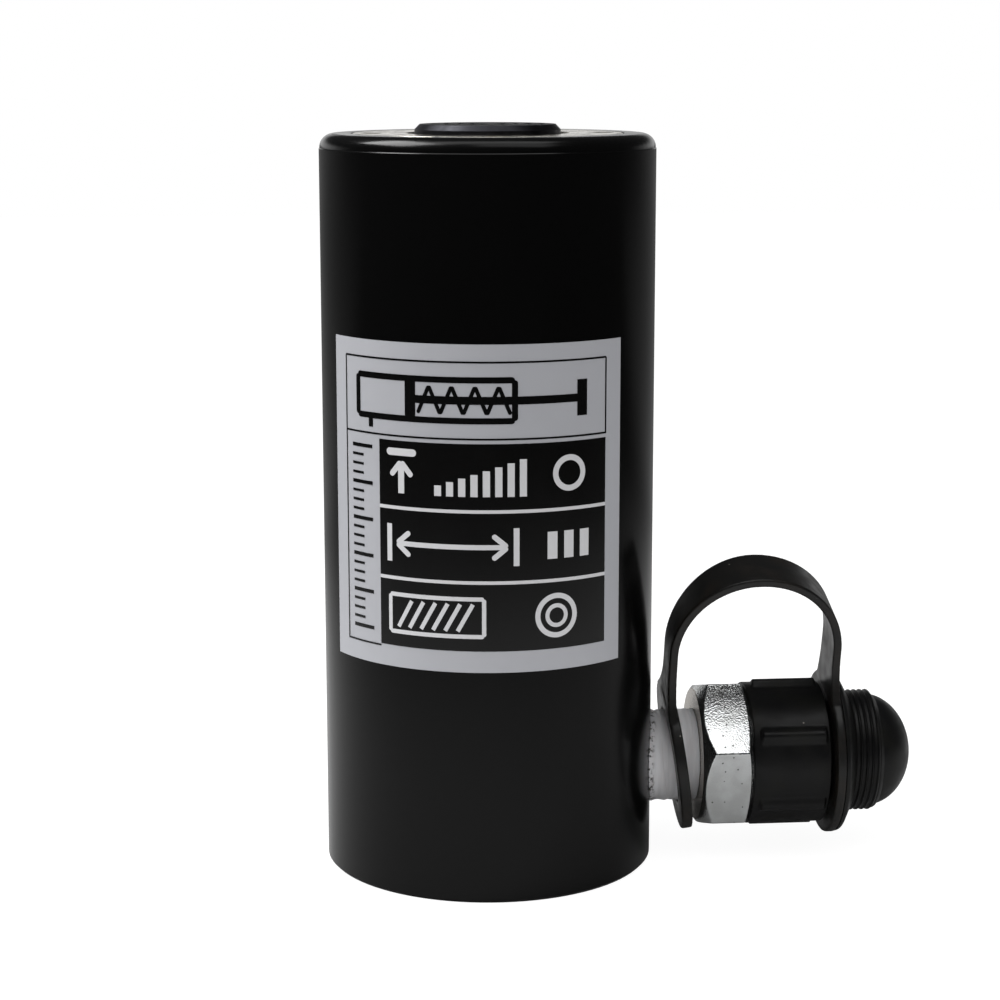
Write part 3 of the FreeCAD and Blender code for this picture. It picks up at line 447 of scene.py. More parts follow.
@dataclass(frozen=True)
class PlatedZinc(Finish):
    """Bright zinc over a blasted steel hexagon: fine pebbles, small pits and a cool, slightly grey metal."""

    pebble: float = 0.34
    pebble_depth: float = 0.036
    pit_spacing: float = 1.7
    pit_size: float = 0.2
    painted_shade_span: tuple[float, float] = (42.1, 42.0)

    def detail(self, tree: bpy.types.NodeTree, shader: bpy.types.Node, place: bpy.types.NodeSocket) -> None:
        """Pebbles are round cells pushed out of line, pits are dark specks, and the turned near face is coloured
        darker and beige-grey as painted shade.
        """
        shake = add_node(tree, "ShaderNodeTexNoise", {"Vector": place, "Scale": per_feature(0.9), "Detail": 2.0})
        pushed = add_node(tree, "ShaderNodeVectorMath", {
            0: shake.outputs["Color"], 1: (self.pebble * MM,) * 3, 2: place,
        }, operation="MULTIPLY_ADD")
        pebbles = add_node(tree, "ShaderNodeTexVoronoi", {
            "Vector": pushed.outputs["Vector"], "Scale": per_feature(self.pebble), "Smoothness": 0.6,
        }, feature="SMOOTH_F1").outputs["Distance"]
        pits = specks(tree, place, self.pit_spacing, self.pit_size)
        cloud = remap(tree, noise(tree, place, 3.5, 3.0), (0.3, 0.7), (0.0, 1.0))
        tone = mix_colour(tree, cloud, linear(self.colour), linear("#DDDFDE"))
        along = add_node(tree, "ShaderNodeSeparateXYZ", {"Vector": place}).outputs["X"]
        # Painted shade: below X 42.0 mm the turned near face of the hexagon is coloured darker and beige-grey.
        face = remap(tree, along, (self.painted_shade_span[0] * MM, self.painted_shade_span[1] * MM))
        tone = mix_colour(tree, face, tone, linear("#A9A298"))
        tree.links.new(mix_colour(tree, pits, tone, linear("#4C4A45")), shader.inputs["Base Color"])
        raised = relief(tree, pebbles, self.pebble_depth)
        sunk = add_node(tree, "ShaderNodeMath", {0: pits, 1: -1.0}, operation="MULTIPLY")
        tree.links.new(relief(tree, sunk.outputs[0], 0.03, raised), shader.inputs["Normal"])


@dataclass(frozen=True)
class ThreadTape(Finish):
    """Soft white thread sealing film in several layers: milky, a little translucent, with fine drawn creases."""

    crease: float = 0.5
    crease_depth: float = 0.03
    port_edge: tuple[float, float] = (34.1, 33.0)

    def detail(self, tree: bpy.types.NodeTree, shader: bpy.types.Node, place: bpy.types.NodeSocket) -> None:
        """Creases are noise drawn out round the stem, and by the barrel's port the film is crumpled, with painted
        shade in its crumples.
        """
        creases = noise(tree, place, self.crease, 3.0, (1.0, 0.08, 0.08))
        thin = remap(tree, noise(tree, place, 2.2, 3.0, (1.0, 0.15, 0.15)), (0.35, 0.7), (0.0, 1.0))
        film = mix_colour(tree, thin, linear(self.colour), linear("#CBC9CB"))
        out = radial_distance(tree, place, (1.0, 1.0, 0.0))
        near = remap(tree, out, (self.port_edge[0] * MM, self.port_edge[1] * MM))
        crumples = noise(tree, place, 0.7, 3.0, (1.0, 1.0, 0.7))
        # Painted shade: crumples within a millimetre of the barrel are coloured dark brown-grey; the same mask raises
        # them as relief.
        folds_and_crease_shade = add_node(tree, "ShaderNodeMath", {0: near, 1: remap(tree, crumples, (0.5, 0.62))},
                         operation="MULTIPLY").outputs[0]
        tree.links.new(mix_colour(tree, folds_and_crease_shade, film, linear("#3C3833")), shader.inputs["Base Color"])
        tree.links.new(relief(tree, folds_and_crease_shade, 0.25, relief(tree, creases, self.crease_depth)),
                       shader.inputs["Normal"])
        shader.inputs["Subsurface Weight"].default_value = 0.25
        shader.inputs["Subsurface Radius"].default_value = (1.2, 1.0, 0.9)
        shader.inputs["Subsurface Scale"].default_value = 0.001


@dataclass(frozen=True)
class MouldedBlack(Finish):
    """Black moulded plastic or rubber: fine spark-eroded grain, faint flow clouds and a little dust."""

    tint: str = "#1A1917"
    grain: float = 0.22
    grain_depth: float = 0.006
    specular: float = 0.4
    dust_spacing: float = 4.5
    dust_size: float = 0.2

    def detail(self, tree: bpy.types.NodeTree, shader: bpy.types.Node, place: bpy.types.NodeSocket) -> None:
        """Grain is fine noise, flow clouds warm the black, and dust is pale specks."""
        clouds = remap(tree, noise(tree, place, 6.0, 3.0), (0.4, 0.75), (0.0, 1.0))
        tone = mix_colour(tree, clouds, linear(self.colour), linear(self.tint))
        dust = specks(tree, place, self.dust_spacing, self.dust_size)
        tree.links.new(mix_colour(tree, dust, tone, linear("#7C7972")), shader.inputs["Base Color"])
        tree.links.new(remap(tree, noise(tree, place, 3.0, 2.0), (0.3, 0.7),
                             (self.roughness - 0.05, self.roughness + 0.07)), shader.inputs["Roughness"])
        tree.links.new(relief(tree, noise(tree, place, self.grain, 3.0), self.grain_depth),
                       shader.inputs["Normal"])
        shader.inputs["Specular IOR Level"].default_value = self.specular


@dataclass(frozen=True)
class PrintedFilm(Finish):
    """Self-adhesive polyester label film or the ink on it: very even, with a faint drawn haze."""

    specular: float = 0.5

    def detail(self, tree: bpy.types.NodeTree, shader: bpy.types.Node, place: bpy.types.NodeSocket) -> None:
        """The haze is broad noise on the gloss, and the film's relief is a very shallow orange peel."""
        haze = noise(tree, place, 9.0, 2.0, (1.0, 1.0, 0.4))
        tree.links.new(remap(tree, haze, (0.3, 0.7), (self.roughness - 0.03, self.roughness + 0.04)),
                       shader.inputs["Roughness"])
        tree.links.new(relief(tree, noise(tree, place, 1.6, 2.0), 0.0015), shader.inputs["Normal"])
        shader.inputs["Specular IOR Level"].default_value = self.specular


@dataclass(frozen=True)
class GroundMetal(Finish):
    """Ground or drawn metal, such as hard chrome, spring wire or a bearing ball: fine lines one way."""

    line: float = 0.3
    line_depth: float = 0.001
    stretch: tuple[float, float, float] = (0.03, 0.03, 1.0)

    def detail(self, tree: bpy.types.NodeTree, shader: bpy.types.Node, place: bpy.types.NodeSocket) -> None:
        """Lines are stretched noise in both relief and roughness."""
        lines = noise(tree, place, self.line, 2.0, self.stretch)
        tree.links.new(remap(tree, lines, (0.3, 0.7), (self.roughness - 0.04, self.roughness + 0.05)),
                       shader.inputs["Roughness"])
        tree.links.new(relief(tree, lines, self.line_depth), shader.inputs["Normal"])


ANODISED = BlackAnodised("anodised_aluminium", "#050505", 0.0, 0.19, "anodised_black")
GLAND_FACE = TurnedMetal("turned_gland_steel", "#F2EDE0", 1.0, 0.17, "gland_steel", "#4C4334", 0.62, 0.45, 0.0022,
                         stain_size=3.4)
BRONZE = TurnedMetal("guide_bronze", "#B98A4E", 1.0, 0.35, "bearing_bronze", "#6E4A24", 0.6)
OIL_BLACK = TurnedMetal("oil_blackened_steel", "#2E2E32", 1.0, 0.4, "blackened_steel", "#121214", 0.6, 0.4, 0.002)
CHROME = GroundMetal("hard_chrome", "#D8DADD", 1.0, 0.12, "chromed_steel")
SPRING_WIRE = GroundMetal("oil_tempered_wire", "#5A5B5E", 1.0, 0.32, "spring_steel")
ZINC = PlatedZinc("bright_zinc_plate", "#EFF1F2", 1.0, 0.2, "zinc_steel")
TAPE = ThreadTape("thread_sealing_film", "#E4E3E5", 0.0, 0.5, "tape_white")
SEAL = MouldedBlack("nitrile_rubber", "#0D0D0D", 0.0, 0.5, "seal_rubber")
GUIDE_PLASTIC = MouldedBlack("filled_guide_plastic", "#D8D2C2", 0.0, 0.45, "seal_plastic", "#C9C1AD")
CAP_PLASTIC = MouldedBlack("moulded_nylon", "#0B0B0C", 0.0, 0.42, "cap_plastic", "#12120F", specular=0.3)
STRAP_RUBBER = MouldedBlack("moulded_strap_rubber", "#121211", 0.0, 0.38, "strap_rubber", "#1D1813", specular=0.45,
                            dust_spacing=5.0)
LABEL_SILVER = PrintedFilm("satin_silver_film", "#B5B6BB", 0.3, 0.4, "label_film")
LABEL_BLACK = PrintedFilm("gloss_black_ink", "#070707", 0.0, 0.12, "label_film", 0.4)
LABEL_LIGHT = PrintedFilm("silver_ink", "#D9D9DB", 0.3, 0.35, "label_film")


# The barrel's label


@dataclass(frozen=True)
class Stroke:
    """A printed line on the flat label: points (across, up) in mm from the label's middle line and the base."""

    points: tuple[tuple[float, float], ...]
    width: float
    round_ends: bool = False


@dataclass
class Label:
    """A wrapped film label with a title field, three panels and a side column, and plain signs for print."""

    radius: float = 32.93
    azimuth: float = -100.9
    inner_left: float = -27.8
    inner_right: float = 27.7
    inner_top: float = 104.3
    inner_base: float = 49.4
    column_right: float = -18.5
    title_base: float = 90.0
    row_lines: tuple[float, float] = (76.4, 62.9)
    row_gap: float = 0.65
    frame_line: float = 0.36
    ink: float = 0.012
    lift: float = 0.004
    step: float = 0.8

    def wrap(self, across: np.ndarray, up: np.ndarray, raise_by: np.ndarray | float) -> np.ndarray:
        """Rolls flat points on the barrel: the angle is azimuth + across / radius.

        Args:
            across: distances from the label's middle line in mm.
            up: heights in mm.
            raise_by: heights over the film in mm.

        Returns:
            Points in space.
        """
        angle = math.radians(self.azimuth) + across / self.radius
        radius = self.radius + raise_by
        return np.stack([radius * np.cos(angle), radius * np.sin(angle), up + 0.0 * angle], axis=-1)

    def line(self, start: Sequence[float], stop: Sequence[float], width: float, round_ends: bool = False,
             layer: int = 0) -> Shell:
        """A thin printed bar from start to stop, as a closed skin wrapped on the film.

        With round ends the half width w near an end is sqrt(w^2 - (w - d)^2) for the distance d from the tip.

        Args:
            start: first end, (across, up) in mm.
            stop: second end.
            width: the bar's width in mm.
            round_ends: whether the ends are half circles.
            layer: how many inks lie under it.

        Returns:
            The bar's skin.
        """
        first, last = np.array(start, float), np.array(stop, float)
        length = float(np.linalg.norm(last - first))
        forward = (last - first) / length
        sideways = np.array([-forward[1], forward[0]])
        half = width / 2.0
        share = np.linspace(0.0, 1.0, max(2, math.ceil(length / self.step)) + 1)
        if round_ends:
            tip = half / length * (1.0 - np.cos(np.linspace(0.0, math.pi / 2.0, 7)))
            share = np.unique(np.concatenate([tip, share[(share > tip[-1]) & (share < 1.0 - tip[-1])], 1.0 - tip]))
            reach = np.minimum(np.minimum(share, 1.0 - share) * length, half)
            halves = np.sqrt(np.maximum(half ** 2 - (half - reach) ** 2, 1e-6))
        else:
            halves = np.full(len(share), half)
        middle = first + share[:, None] * (last - first)
        sides = max(2, math.ceil(abs(sideways[0]) * width / self.step)) + 1
        spread = np.linspace(-1.0, 1.0, sides)
        ring = np.concatenate([spread, spread[::-1]])
        low = self.lift + layer * self.ink
        raised = np.concatenate([np.full(sides, low), np.full(sides, low + self.ink)])
        flat = middle[:, None] + ring[None, :, None] * halves[:, None, None] * sideways
        rows = self.wrap(flat[..., 0], flat[..., 1], raised[None])
        ends = [np.repeat(rows[i:i + 1].mean(axis=1, keepdims=True), rows.shape[1], axis=1) for i in (0, -1)]
        return Shell(np.vstack([ends[0], rows, ends[1]]))

    def path(self, stroke: Stroke, layer: int = 0) -> list[Shell]:
        """The bars of a stroke, one for each run between its points."""
        return [self.line(a, b, stroke.width, stroke.round_ends, layer)
                for a, b in zip(stroke.points, stroke.points[1:])]

    def block(self, left: float, right: float, low: float, high: float, layer: int = 0) -> Shell:
        """A filled rectangle with those sides in mm."""
        middle = (low + high) / 2.0
        return self.line((left, middle), (right, middle), high - low, False, layer)

    def ring(self, centre: tuple[float, float], radius: float, width: float, layer: int = 0) -> Shell:
        """A printed circle line round a centre."""
        angles = np.linspace(0.0, FULL_TURN, 49)[:-1, None]
        low = self.lift + layer * self.ink
        radii = radius + np.array([-0.5, 0.5, 0.5, -0.5])[None] * width
        raised = np.array([low, low, low + self.ink, low + self.ink])[None]
        rows = self.wrap(centre[0] + radii * np.cos(angles), centre[1] + radii * np.sin(angles), raised)
        return Shell(rows, ring_rows=True)

    def black_print(self) -> list[Shell]:
        """The frame line, the three panels, the title's cylinder sign and the column's ruler."""
        half_line = self.frame_line / 2.0
        rows = (self.title_base - 0.55, *self.row_lines, self.inner_base)
        panels = [
            self.block(self.column_right, self.inner_right, low + self.row_gap / 2.0, high - self.row_gap / 2.0)
            for high, low in zip(rows, rows[1:])
        ]
        corners = (
            (self.inner_left, self.inner_base), (self.inner_left, self.inner_top),
            (self.inner_right, self.inner_top), (self.inner_right, self.title_base),
        )
        outline = [self.line(a, b, self.frame_line) for a, b in zip(corners, corners[1:])]
        lower = (self.inner_left - half_line, self.inner_base), (self.column_right, self.inner_base)
        divider = (self.inner_left, self.title_base), (self.inner_right + half_line, self.title_base)
        lines = [self.line(*lower, self.frame_line), self.line(*divider, self.frame_line)]
        return [*panels, *outline, *lines, *self.cylinder_sign(), *self.ruler()]

    def cylinder_sign(self) -> list[Shell]:
        """The drawing sign of a cylinder with a spring return: case, piston, rod, spring, port and load."""
        low, high = 93.4, 101.0
        middle = (low + high) / 2.0
        left, right, piston = -24.0, 8.5, -11.5
        zigzag = tuple(
            (piston + 1.6 + 2.2 * i, middle + (2.6 if i % 2 else -2.6)) for i in range(9)
        )
        strokes = (
            Stroke(((left, low), (right, low), (right, high), (left, high), (left, low)), 1.15, True),
            Stroke(((piston, low), (piston, high)), 2.2),
            Stroke(((piston, middle), (right + 13.5, middle)), 1.5),
            Stroke(((right + 13.5, low + 0.4), (right + 13.5, high - 0.4)), 2.2),
            Stroke(zigzag, 0.75, True),
            Stroke(((left + 3.4, low), (left + 3.4, low - 2.2)), 1.1),
        )
        return [shell for stroke in strokes for shell in self.path(stroke)]

    def ruler(self) -> list[Shell]:
        """A plain scale in the side column: a long tick at every fourth place."""
        base, pitch, count = 52.4, 1.75, 21
        start = self.inner_left + 1.9
        ticks = []
        for i in range(count):
            length = 5.6 if i % 4 == 0 else 3.2
            width = 0.7 if i % 4 == 0 else 0.5
            ticks.append(self.line((start, base + i * pitch), (start + length, base + i * pitch), width))
        return ticks

    def light_print(self) -> list[Shell]:
        """The panels' signs: a lifted load with a bar scale, a travel arrow, and a cut section with a tube end."""
        rows = (self.title_base, *self.row_lines, self.inner_base)
        load, travel, section = ((high + low) / 2.0 for high, low in zip(rows, rows[1:]))
        left = self.column_right + 1.8
        strokes = [
            *(Stroke(((self.column_right, up), (self.inner_right, up)), self.row_gap) for up in self.row_lines),
            Stroke(((left + 3.2, load - 4.0), (left + 3.2, load + 1.4)), 1.3),
            Stroke(((left + 0.9, load - 0.7), (left + 3.2, load + 2.0), (left + 5.5, load - 0.7)), 1.1, True),
            Stroke(((left, load + 3.8), (left + 6.4, load + 3.8)), 1.4, True),
            Stroke(((left + 0.5, travel - 3.6), (left + 0.5, travel + 3.6)), 1.1),
            Stroke(((left + 25.5, travel - 3.6), (left + 25.5, travel + 3.6)), 1.1),
            Stroke(((left + 2.2, travel), (left + 23.8, travel)), 0.95),
            Stroke(((left + 5.0, travel + 2.3), (left + 2.2, travel), (left + 5.0, travel - 2.3)), 1.0, True),
            Stroke(((left + 21.0, travel + 2.3), (left + 23.8, travel), (left + 21.0, travel - 2.3)), 1.0, True),
        ]
        shells = [shell for stroke in strokes for shell in self.path(stroke, layer=1)]
        for i in range(8):
            height = 2.0 + 0.72 * i
            start = left + 10.0 + 2.3 * i
            shells.append(self.block(start, start + 1.35, load - 4.0, load - 4.0 + height, layer=1))
        shells.append(self.ring((left + 36.0, load), 2.9, 1.1, layer=1))
        for i in range(3):
            start = left + 31.5 + 3.4 * i
            shells.append(self.block(start, start + 2.0, travel - 2.6, travel + 2.6, layer=1))
        box = ((left + 0.6, section - 3.6), (left + 19.4, section - 3.6), (left + 19.4, section + 3.6),
               (left + 0.6, section + 3.6), (left + 0.6, section - 3.6))
        shells += self.path(Stroke(box, 0.8, True), layer=1)
        for i in range(6):
            start = left + 2.4 + 2.4 * i
            shells.append(self.line((start, section - 2.6), (start + 2.9, section + 2.6), 0.8, False, 1))
        shells.append(self.ring((left + 33.4, section), 3.8, 1.0, layer=1))
        shells.append(self.ring((left + 33.4, section), 1.9, 0.8, layer=1))
        return shells

    def build(self) -> list[bpy.types.Object]:
        """Prints both inks on the film."""
        pieces = []
        for name, shells, finish in (("label_black_print", self.black_print(), LABEL_BLACK),
                                     ("label_light_print", self.light_print(), LABEL_LIGHT)):
            piece = make_piece(name, shells)
            finish.dress(piece)
            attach(piece, Body.BARREL.value)
            pieces.append(piece)
        return pieces


# The coupler half on the barrel's side


@dataclass
class Coupler:
    """Plated coupler half: taper stem, chamfered hexagon, threaded nose, socket and valve bore."""

    height: float = 19.0
    stem_end: float = 20.0
    stem_end_radius: float = 8.15
    barrel_radius: float = 32.73
    stem_radius: float = 8.6
    hex_start: float = 41.95
    hex_end: float = 51.85
    apothem: float = 14.0
    corner_round: float = 0.55
    face_radius: float = 13.3
    near_chamfer: float = 37.0
    far_chamfer: float = 19.0
    hex_turn: float = 15.4
    edge_round: float = 0.28
    nose_radius: float = 12.0
    relief_radius: float = 11.1
    relief_end: float = 53.45
    nose_end: float = 64.0
    thread_pitch: float = 1.5
    thread_depth: float = 0.75
    bore_radius: float = 5.6
    socket_radius: float = 8.0
    socket_start: float = 57.5
    seat_radius: float = 3.0
    seat_start: float = 53.7
    seat_end: float = 56.3
    seal_start: float = 59.4
    seal_end: float = 61.8
    seal_root: float = 9.35

    def angles(self) -> np.ndarray:
        """Column angles: every 1.5 degrees, and every 0.4 degrees across each rounded corner."""
        corners = math.radians(self.hex_turn) + np.arange(6) * math.pi / 3.0
        fine = (corners[:, None] + np.radians(np.linspace(-2.4, 2.4, 13))).ravel()
        even = np.radians(np.arange(0.0, 360.0, 1.5))
        near = np.abs((even[:, None] - corners + math.pi) % FULL_TURN - math.pi).min(axis=1)
        return np.sort(np.concatenate([even[near > math.radians(2.6)], fine]) % FULL_TURN)

    def hexagon(self, angles: np.ndarray) -> np.ndarray:
        """Radius of a hexagon with rounded corners, by angle.

        A flat lies at a / cos(30 - d) for the angle d from its nearest corner, and the corner's arc of radius q,
        whose centre is c = (a - q) / cos 30 out, at c cos d + sqrt(q^2 - c^2 sin^2 d).

        Args:
            angles: column angles in radians.

        Returns:
            Radii in mm.
        """
        sixth, half = math.pi / 3.0, math.pi / 6.0
        turned_by = (angles - math.radians(self.hex_turn) + half) % sixth - half
        away = np.abs(turned_by)
        flat = self.apothem / np.cos(half - away)
        centre = (self.apothem - self.corner_round) / math.cos(half)
        touch = math.atan2(self.corner_round * math.sin(half), centre + self.corner_round * math.cos(half))
        inside = np.maximum(self.corner_round ** 2 - (centre * np.sin(away)) ** 2, 0.0)
        arc = centre * np.cos(away) + np.sqrt(inside)
        return np.where(away < touch, arc, flat)

    def hex_rows(self, angles: np.ndarray) -> tuple[np.ndarray, np.ndarray]:
        """The hexagon's outline at each angle: face, chamfer, flat, chamfer, face, with soft edges.

        A chamfer of angle c meets the flat (h - f) tan c in from the face, for the hexagon's radius h and the
        face's radius f, and a short curve (1-t)^2 A + 2t(1-t) P + t^2 B softens that edge P.

        Args:
            angles: column angles in radians.

        Returns:
            Distances along the axis and radii, rows x columns.
        """
        reach = self.hexagon(angles)
        share = np.linspace(0.0, 1.0, 5)[:, None]
        sides = []
        for slope in (math.radians(self.near_chamfer), math.radians(self.far_chamfer)):
            depth = (reach - self.face_radius) * math.tan(slope)
            cut = np.minimum(self.edge_round, 0.45 * depth / math.sin(slope))
            along = (1.0 - share) ** 2 * (depth - cut * math.sin(slope)) + 2.0 * share * (1.0 - share) * depth + (
                share ** 2 * (depth + cut))
            radius = (1.0 - share) ** 2 * (reach - cut * math.cos(slope)) + (1.0 - (1.0 - share) ** 2) * reach
            face = np.full((1, len(angles)), self.face_radius)
            sides.append((np.vstack([0.0 * face, along]), np.vstack([face, radius])))
        (near, near_rise), (far, far_rise) = sides
        return (np.vstack([self.hex_start + near, self.hex_end - far[::-1]]),
                np.vstack([near_rise, far_rise[::-1]]))

    def nose_rows(self, angles: np.ndarray) -> tuple[np.ndarray, np.ndarray]:
        """The nose's screw thread: a 60 degree wave of the phase (along / pitch - angle / turn), run out at its ends.

        Args:
            angles: column angles in radians.

        Returns:
            Distances along the axis and radii, rows x columns.
        """
        along = np.arange(self.relief_end, self.nose_end - 0.7, 0.16)[:, None] + 0.0 * angles
        phase = (along / self.thread_pitch - angles / FULL_TURN) % 1.0
        groove = np.clip(1.25 - 2.5 * np.abs(phase - 0.5) - 0.25, 0.0, 0.875) / 0.875
        run_out = ease(self.relief_end, self.relief_end + 1.0, along) * (
            1.0 - ease(self.nose_end - 1.9, self.nose_end - 0.7, along))
        radius = self.nose_radius - self.thread_depth * groove * run_out
        return along, radius

    def shell(self) -> Shell:
        """The coupler's whole skin, outside and through the bore."""
        angles = self.angles()
        width = np.zeros_like(angles)
        outer = rounded_outline((
            (self.stem_end, self.bore_radius, 0.0),
            (self.stem_end, self.stem_end_radius, 0.4),
            (self.barrel_radius, self.stem_radius, 0.0),
            (self.hex_start, self.stem_radius, 0.0),
        ), closed=False)
        relief_rows = np.array([
            (self.hex_end, self.face_radius - 0.1), (self.hex_end + 0.19, self.face_radius - 0.12),
            (self.hex_end + 0.2, self.relief_radius), (self.relief_end - 0.5, self.relief_radius),
            (self.relief_end - 0.05, self.nose_radius - 0.2),
        ])
        inner = rounded_outline((
            (self.nose_end - 0.6, self.nose_radius, 0.0),
            (self.nose_end, self.nose_radius - 0.8, 0.2),
            (self.nose_end, self.socket_radius + 0.4, 0.0),
            (self.nose_end - 0.5, self.socket_radius, 0.0),
            (self.seal_end, self.socket_radius, 0.0),
            (self.seal_end, self.seal_root, 0.0),
            (self.seal_start, self.seal_root, 0.0),
            (self.seal_start, self.socket_radius, 0.0),
            (self.socket_start, self.socket_radius, 0.2),
            (self.socket_start, self.seat_radius, 0.2),
            (self.seat_end, self.seat_radius, 0.0),
            (self.seat_start, self.bore_radius, 0.0),
        ), closed=False)
        hex_along, hex_radius = self.hex_rows(angles)
        nose_along, nose_radius = self.nose_rows(angles)
        along = np.vstack([outer[:, :1] + width, hex_along, relief_rows[:, :1] + width, nose_along,
                           inner[:, :1] + width])
        radius = np.vstack([outer[:, 1:] + width, hex_radius, relief_rows[:, 1:] + width, nose_radius,
                            inner[:, 1:] + width])
        return Shell(turned(along, radius, angles, Axis.COUPLER, self.height), ring_rows=True)

    def build(self) -> list[bpy.types.Object]:
        """Makes the coupler in place of its plain solid."""
        piece = make_piece("coupler_half", [self.shell()])
        ZINC.dress(piece)
        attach(piece, Body.BARREL.value)
        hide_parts("coupler_body")
        return [piece]


@dataclass
class Tape:
    """Sealing film wound on the stem: overlapping turns, soft thread waves below, crumpled at the port."""

    height: float = 19.0
    barrel_radius: float = 32.79
    inner: float = 8.64
    outer: float = 9.2
    end: float = 41.87
    rows: int = 90
    columns: int = 300
    turn_pitch: float = 2.9
    turn_step: float = 0.11
    thread_pitch: float = 1.41
    thread_wave: float = 0.035
    crumple: float = 0.22

    def radius(self, along: np.ndarray, angles: np.ndarray) -> np.ndarray:
        """The film's outer radius: a saw tooth of wound edges, a soft thread wave, and crumples near the port.

        Args:
            along: distance from the stem's start on the barrel, 0 to 1, by point.
            angles: column angles in radians, by point.

        Returns:
            Radii in mm.
        """
        reach = along * (self.end - self.barrel_radius)
        phase = (reach / self.turn_pitch + angles / FULL_TURN + 0.06 * np.sin(2.0 * angles + 0.7)) % 1.0
        saw = phase - ease(0.9, 1.0, phase)
        second = (reach / (0.63 * self.turn_pitch) - angles / FULL_TURN + 0.1 * np.sin(3.0 * angles)) % 1.0
        saw = saw + 0.45 * (second - ease(0.88, 1.0, second))
        wave = np.sin(FULL_TURN * (reach / self.thread_pitch - angles / FULL_TURN))
        near = np.exp(-((reach - 0.5) / 0.55) ** 2)
        rough = (np.sin(17.0 * angles + 2.0 * np.sin(5.0 * angles)) + 0.7 * np.sin(31.0 * angles + 9.0 * along)
                 + 0.5 * np.sin(53.0 * angles))
        dip = np.exp(-((reach - 1.5) / 0.5) ** 2) * (0.6 + 0.4 * np.sin(3.0 * angles + 1.0))
        return (self.outer + self.turn_step * (saw - 0.5) + self.thread_wave * wave
                + self.crumple * near * (0.35 + 0.25 * rough) - 0.28 * dip)

    def shell(self) -> Shell:
        """The film's closed skin: its inner end follows the round barrel, at sqrt(R^2 - y^2)."""
        angles = np.linspace(0.0, FULL_TURN, self.columns, endpoint=False)
        share = np.linspace(0.0, 1.0, self.rows)[:, None]
        radius = self.radius(share, angles[None])
        across = self.outer * np.cos(angles)
        start = np.sqrt(self.barrel_radius ** 2 - across ** 2)
        along = start + share * (self.end - start)
        inner_start = np.sqrt(self.barrel_radius ** 2 - (self.inner * np.cos(angles)) ** 2)
        inner_along = np.stack([np.full(self.columns, self.end), inner_start])
        grid_along = np.vstack([along, inner_along])
        grid_radius = np.vstack([radius, np.full((2, self.columns), self.inner)])
        return Shell(turned(grid_along, grid_radius, angles, Axis.COUPLER, self.height), ring_rows=True)

    def build(self) -> list[bpy.types.Object]:
        """Winds the film in place of its plain sleeve."""
        piece = make_piece("wound_thread_film", [self.shell()])
        TAPE.dress(piece)
        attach(piece, Body.BARREL.value)
        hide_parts("thread_tape")
        return [piece]


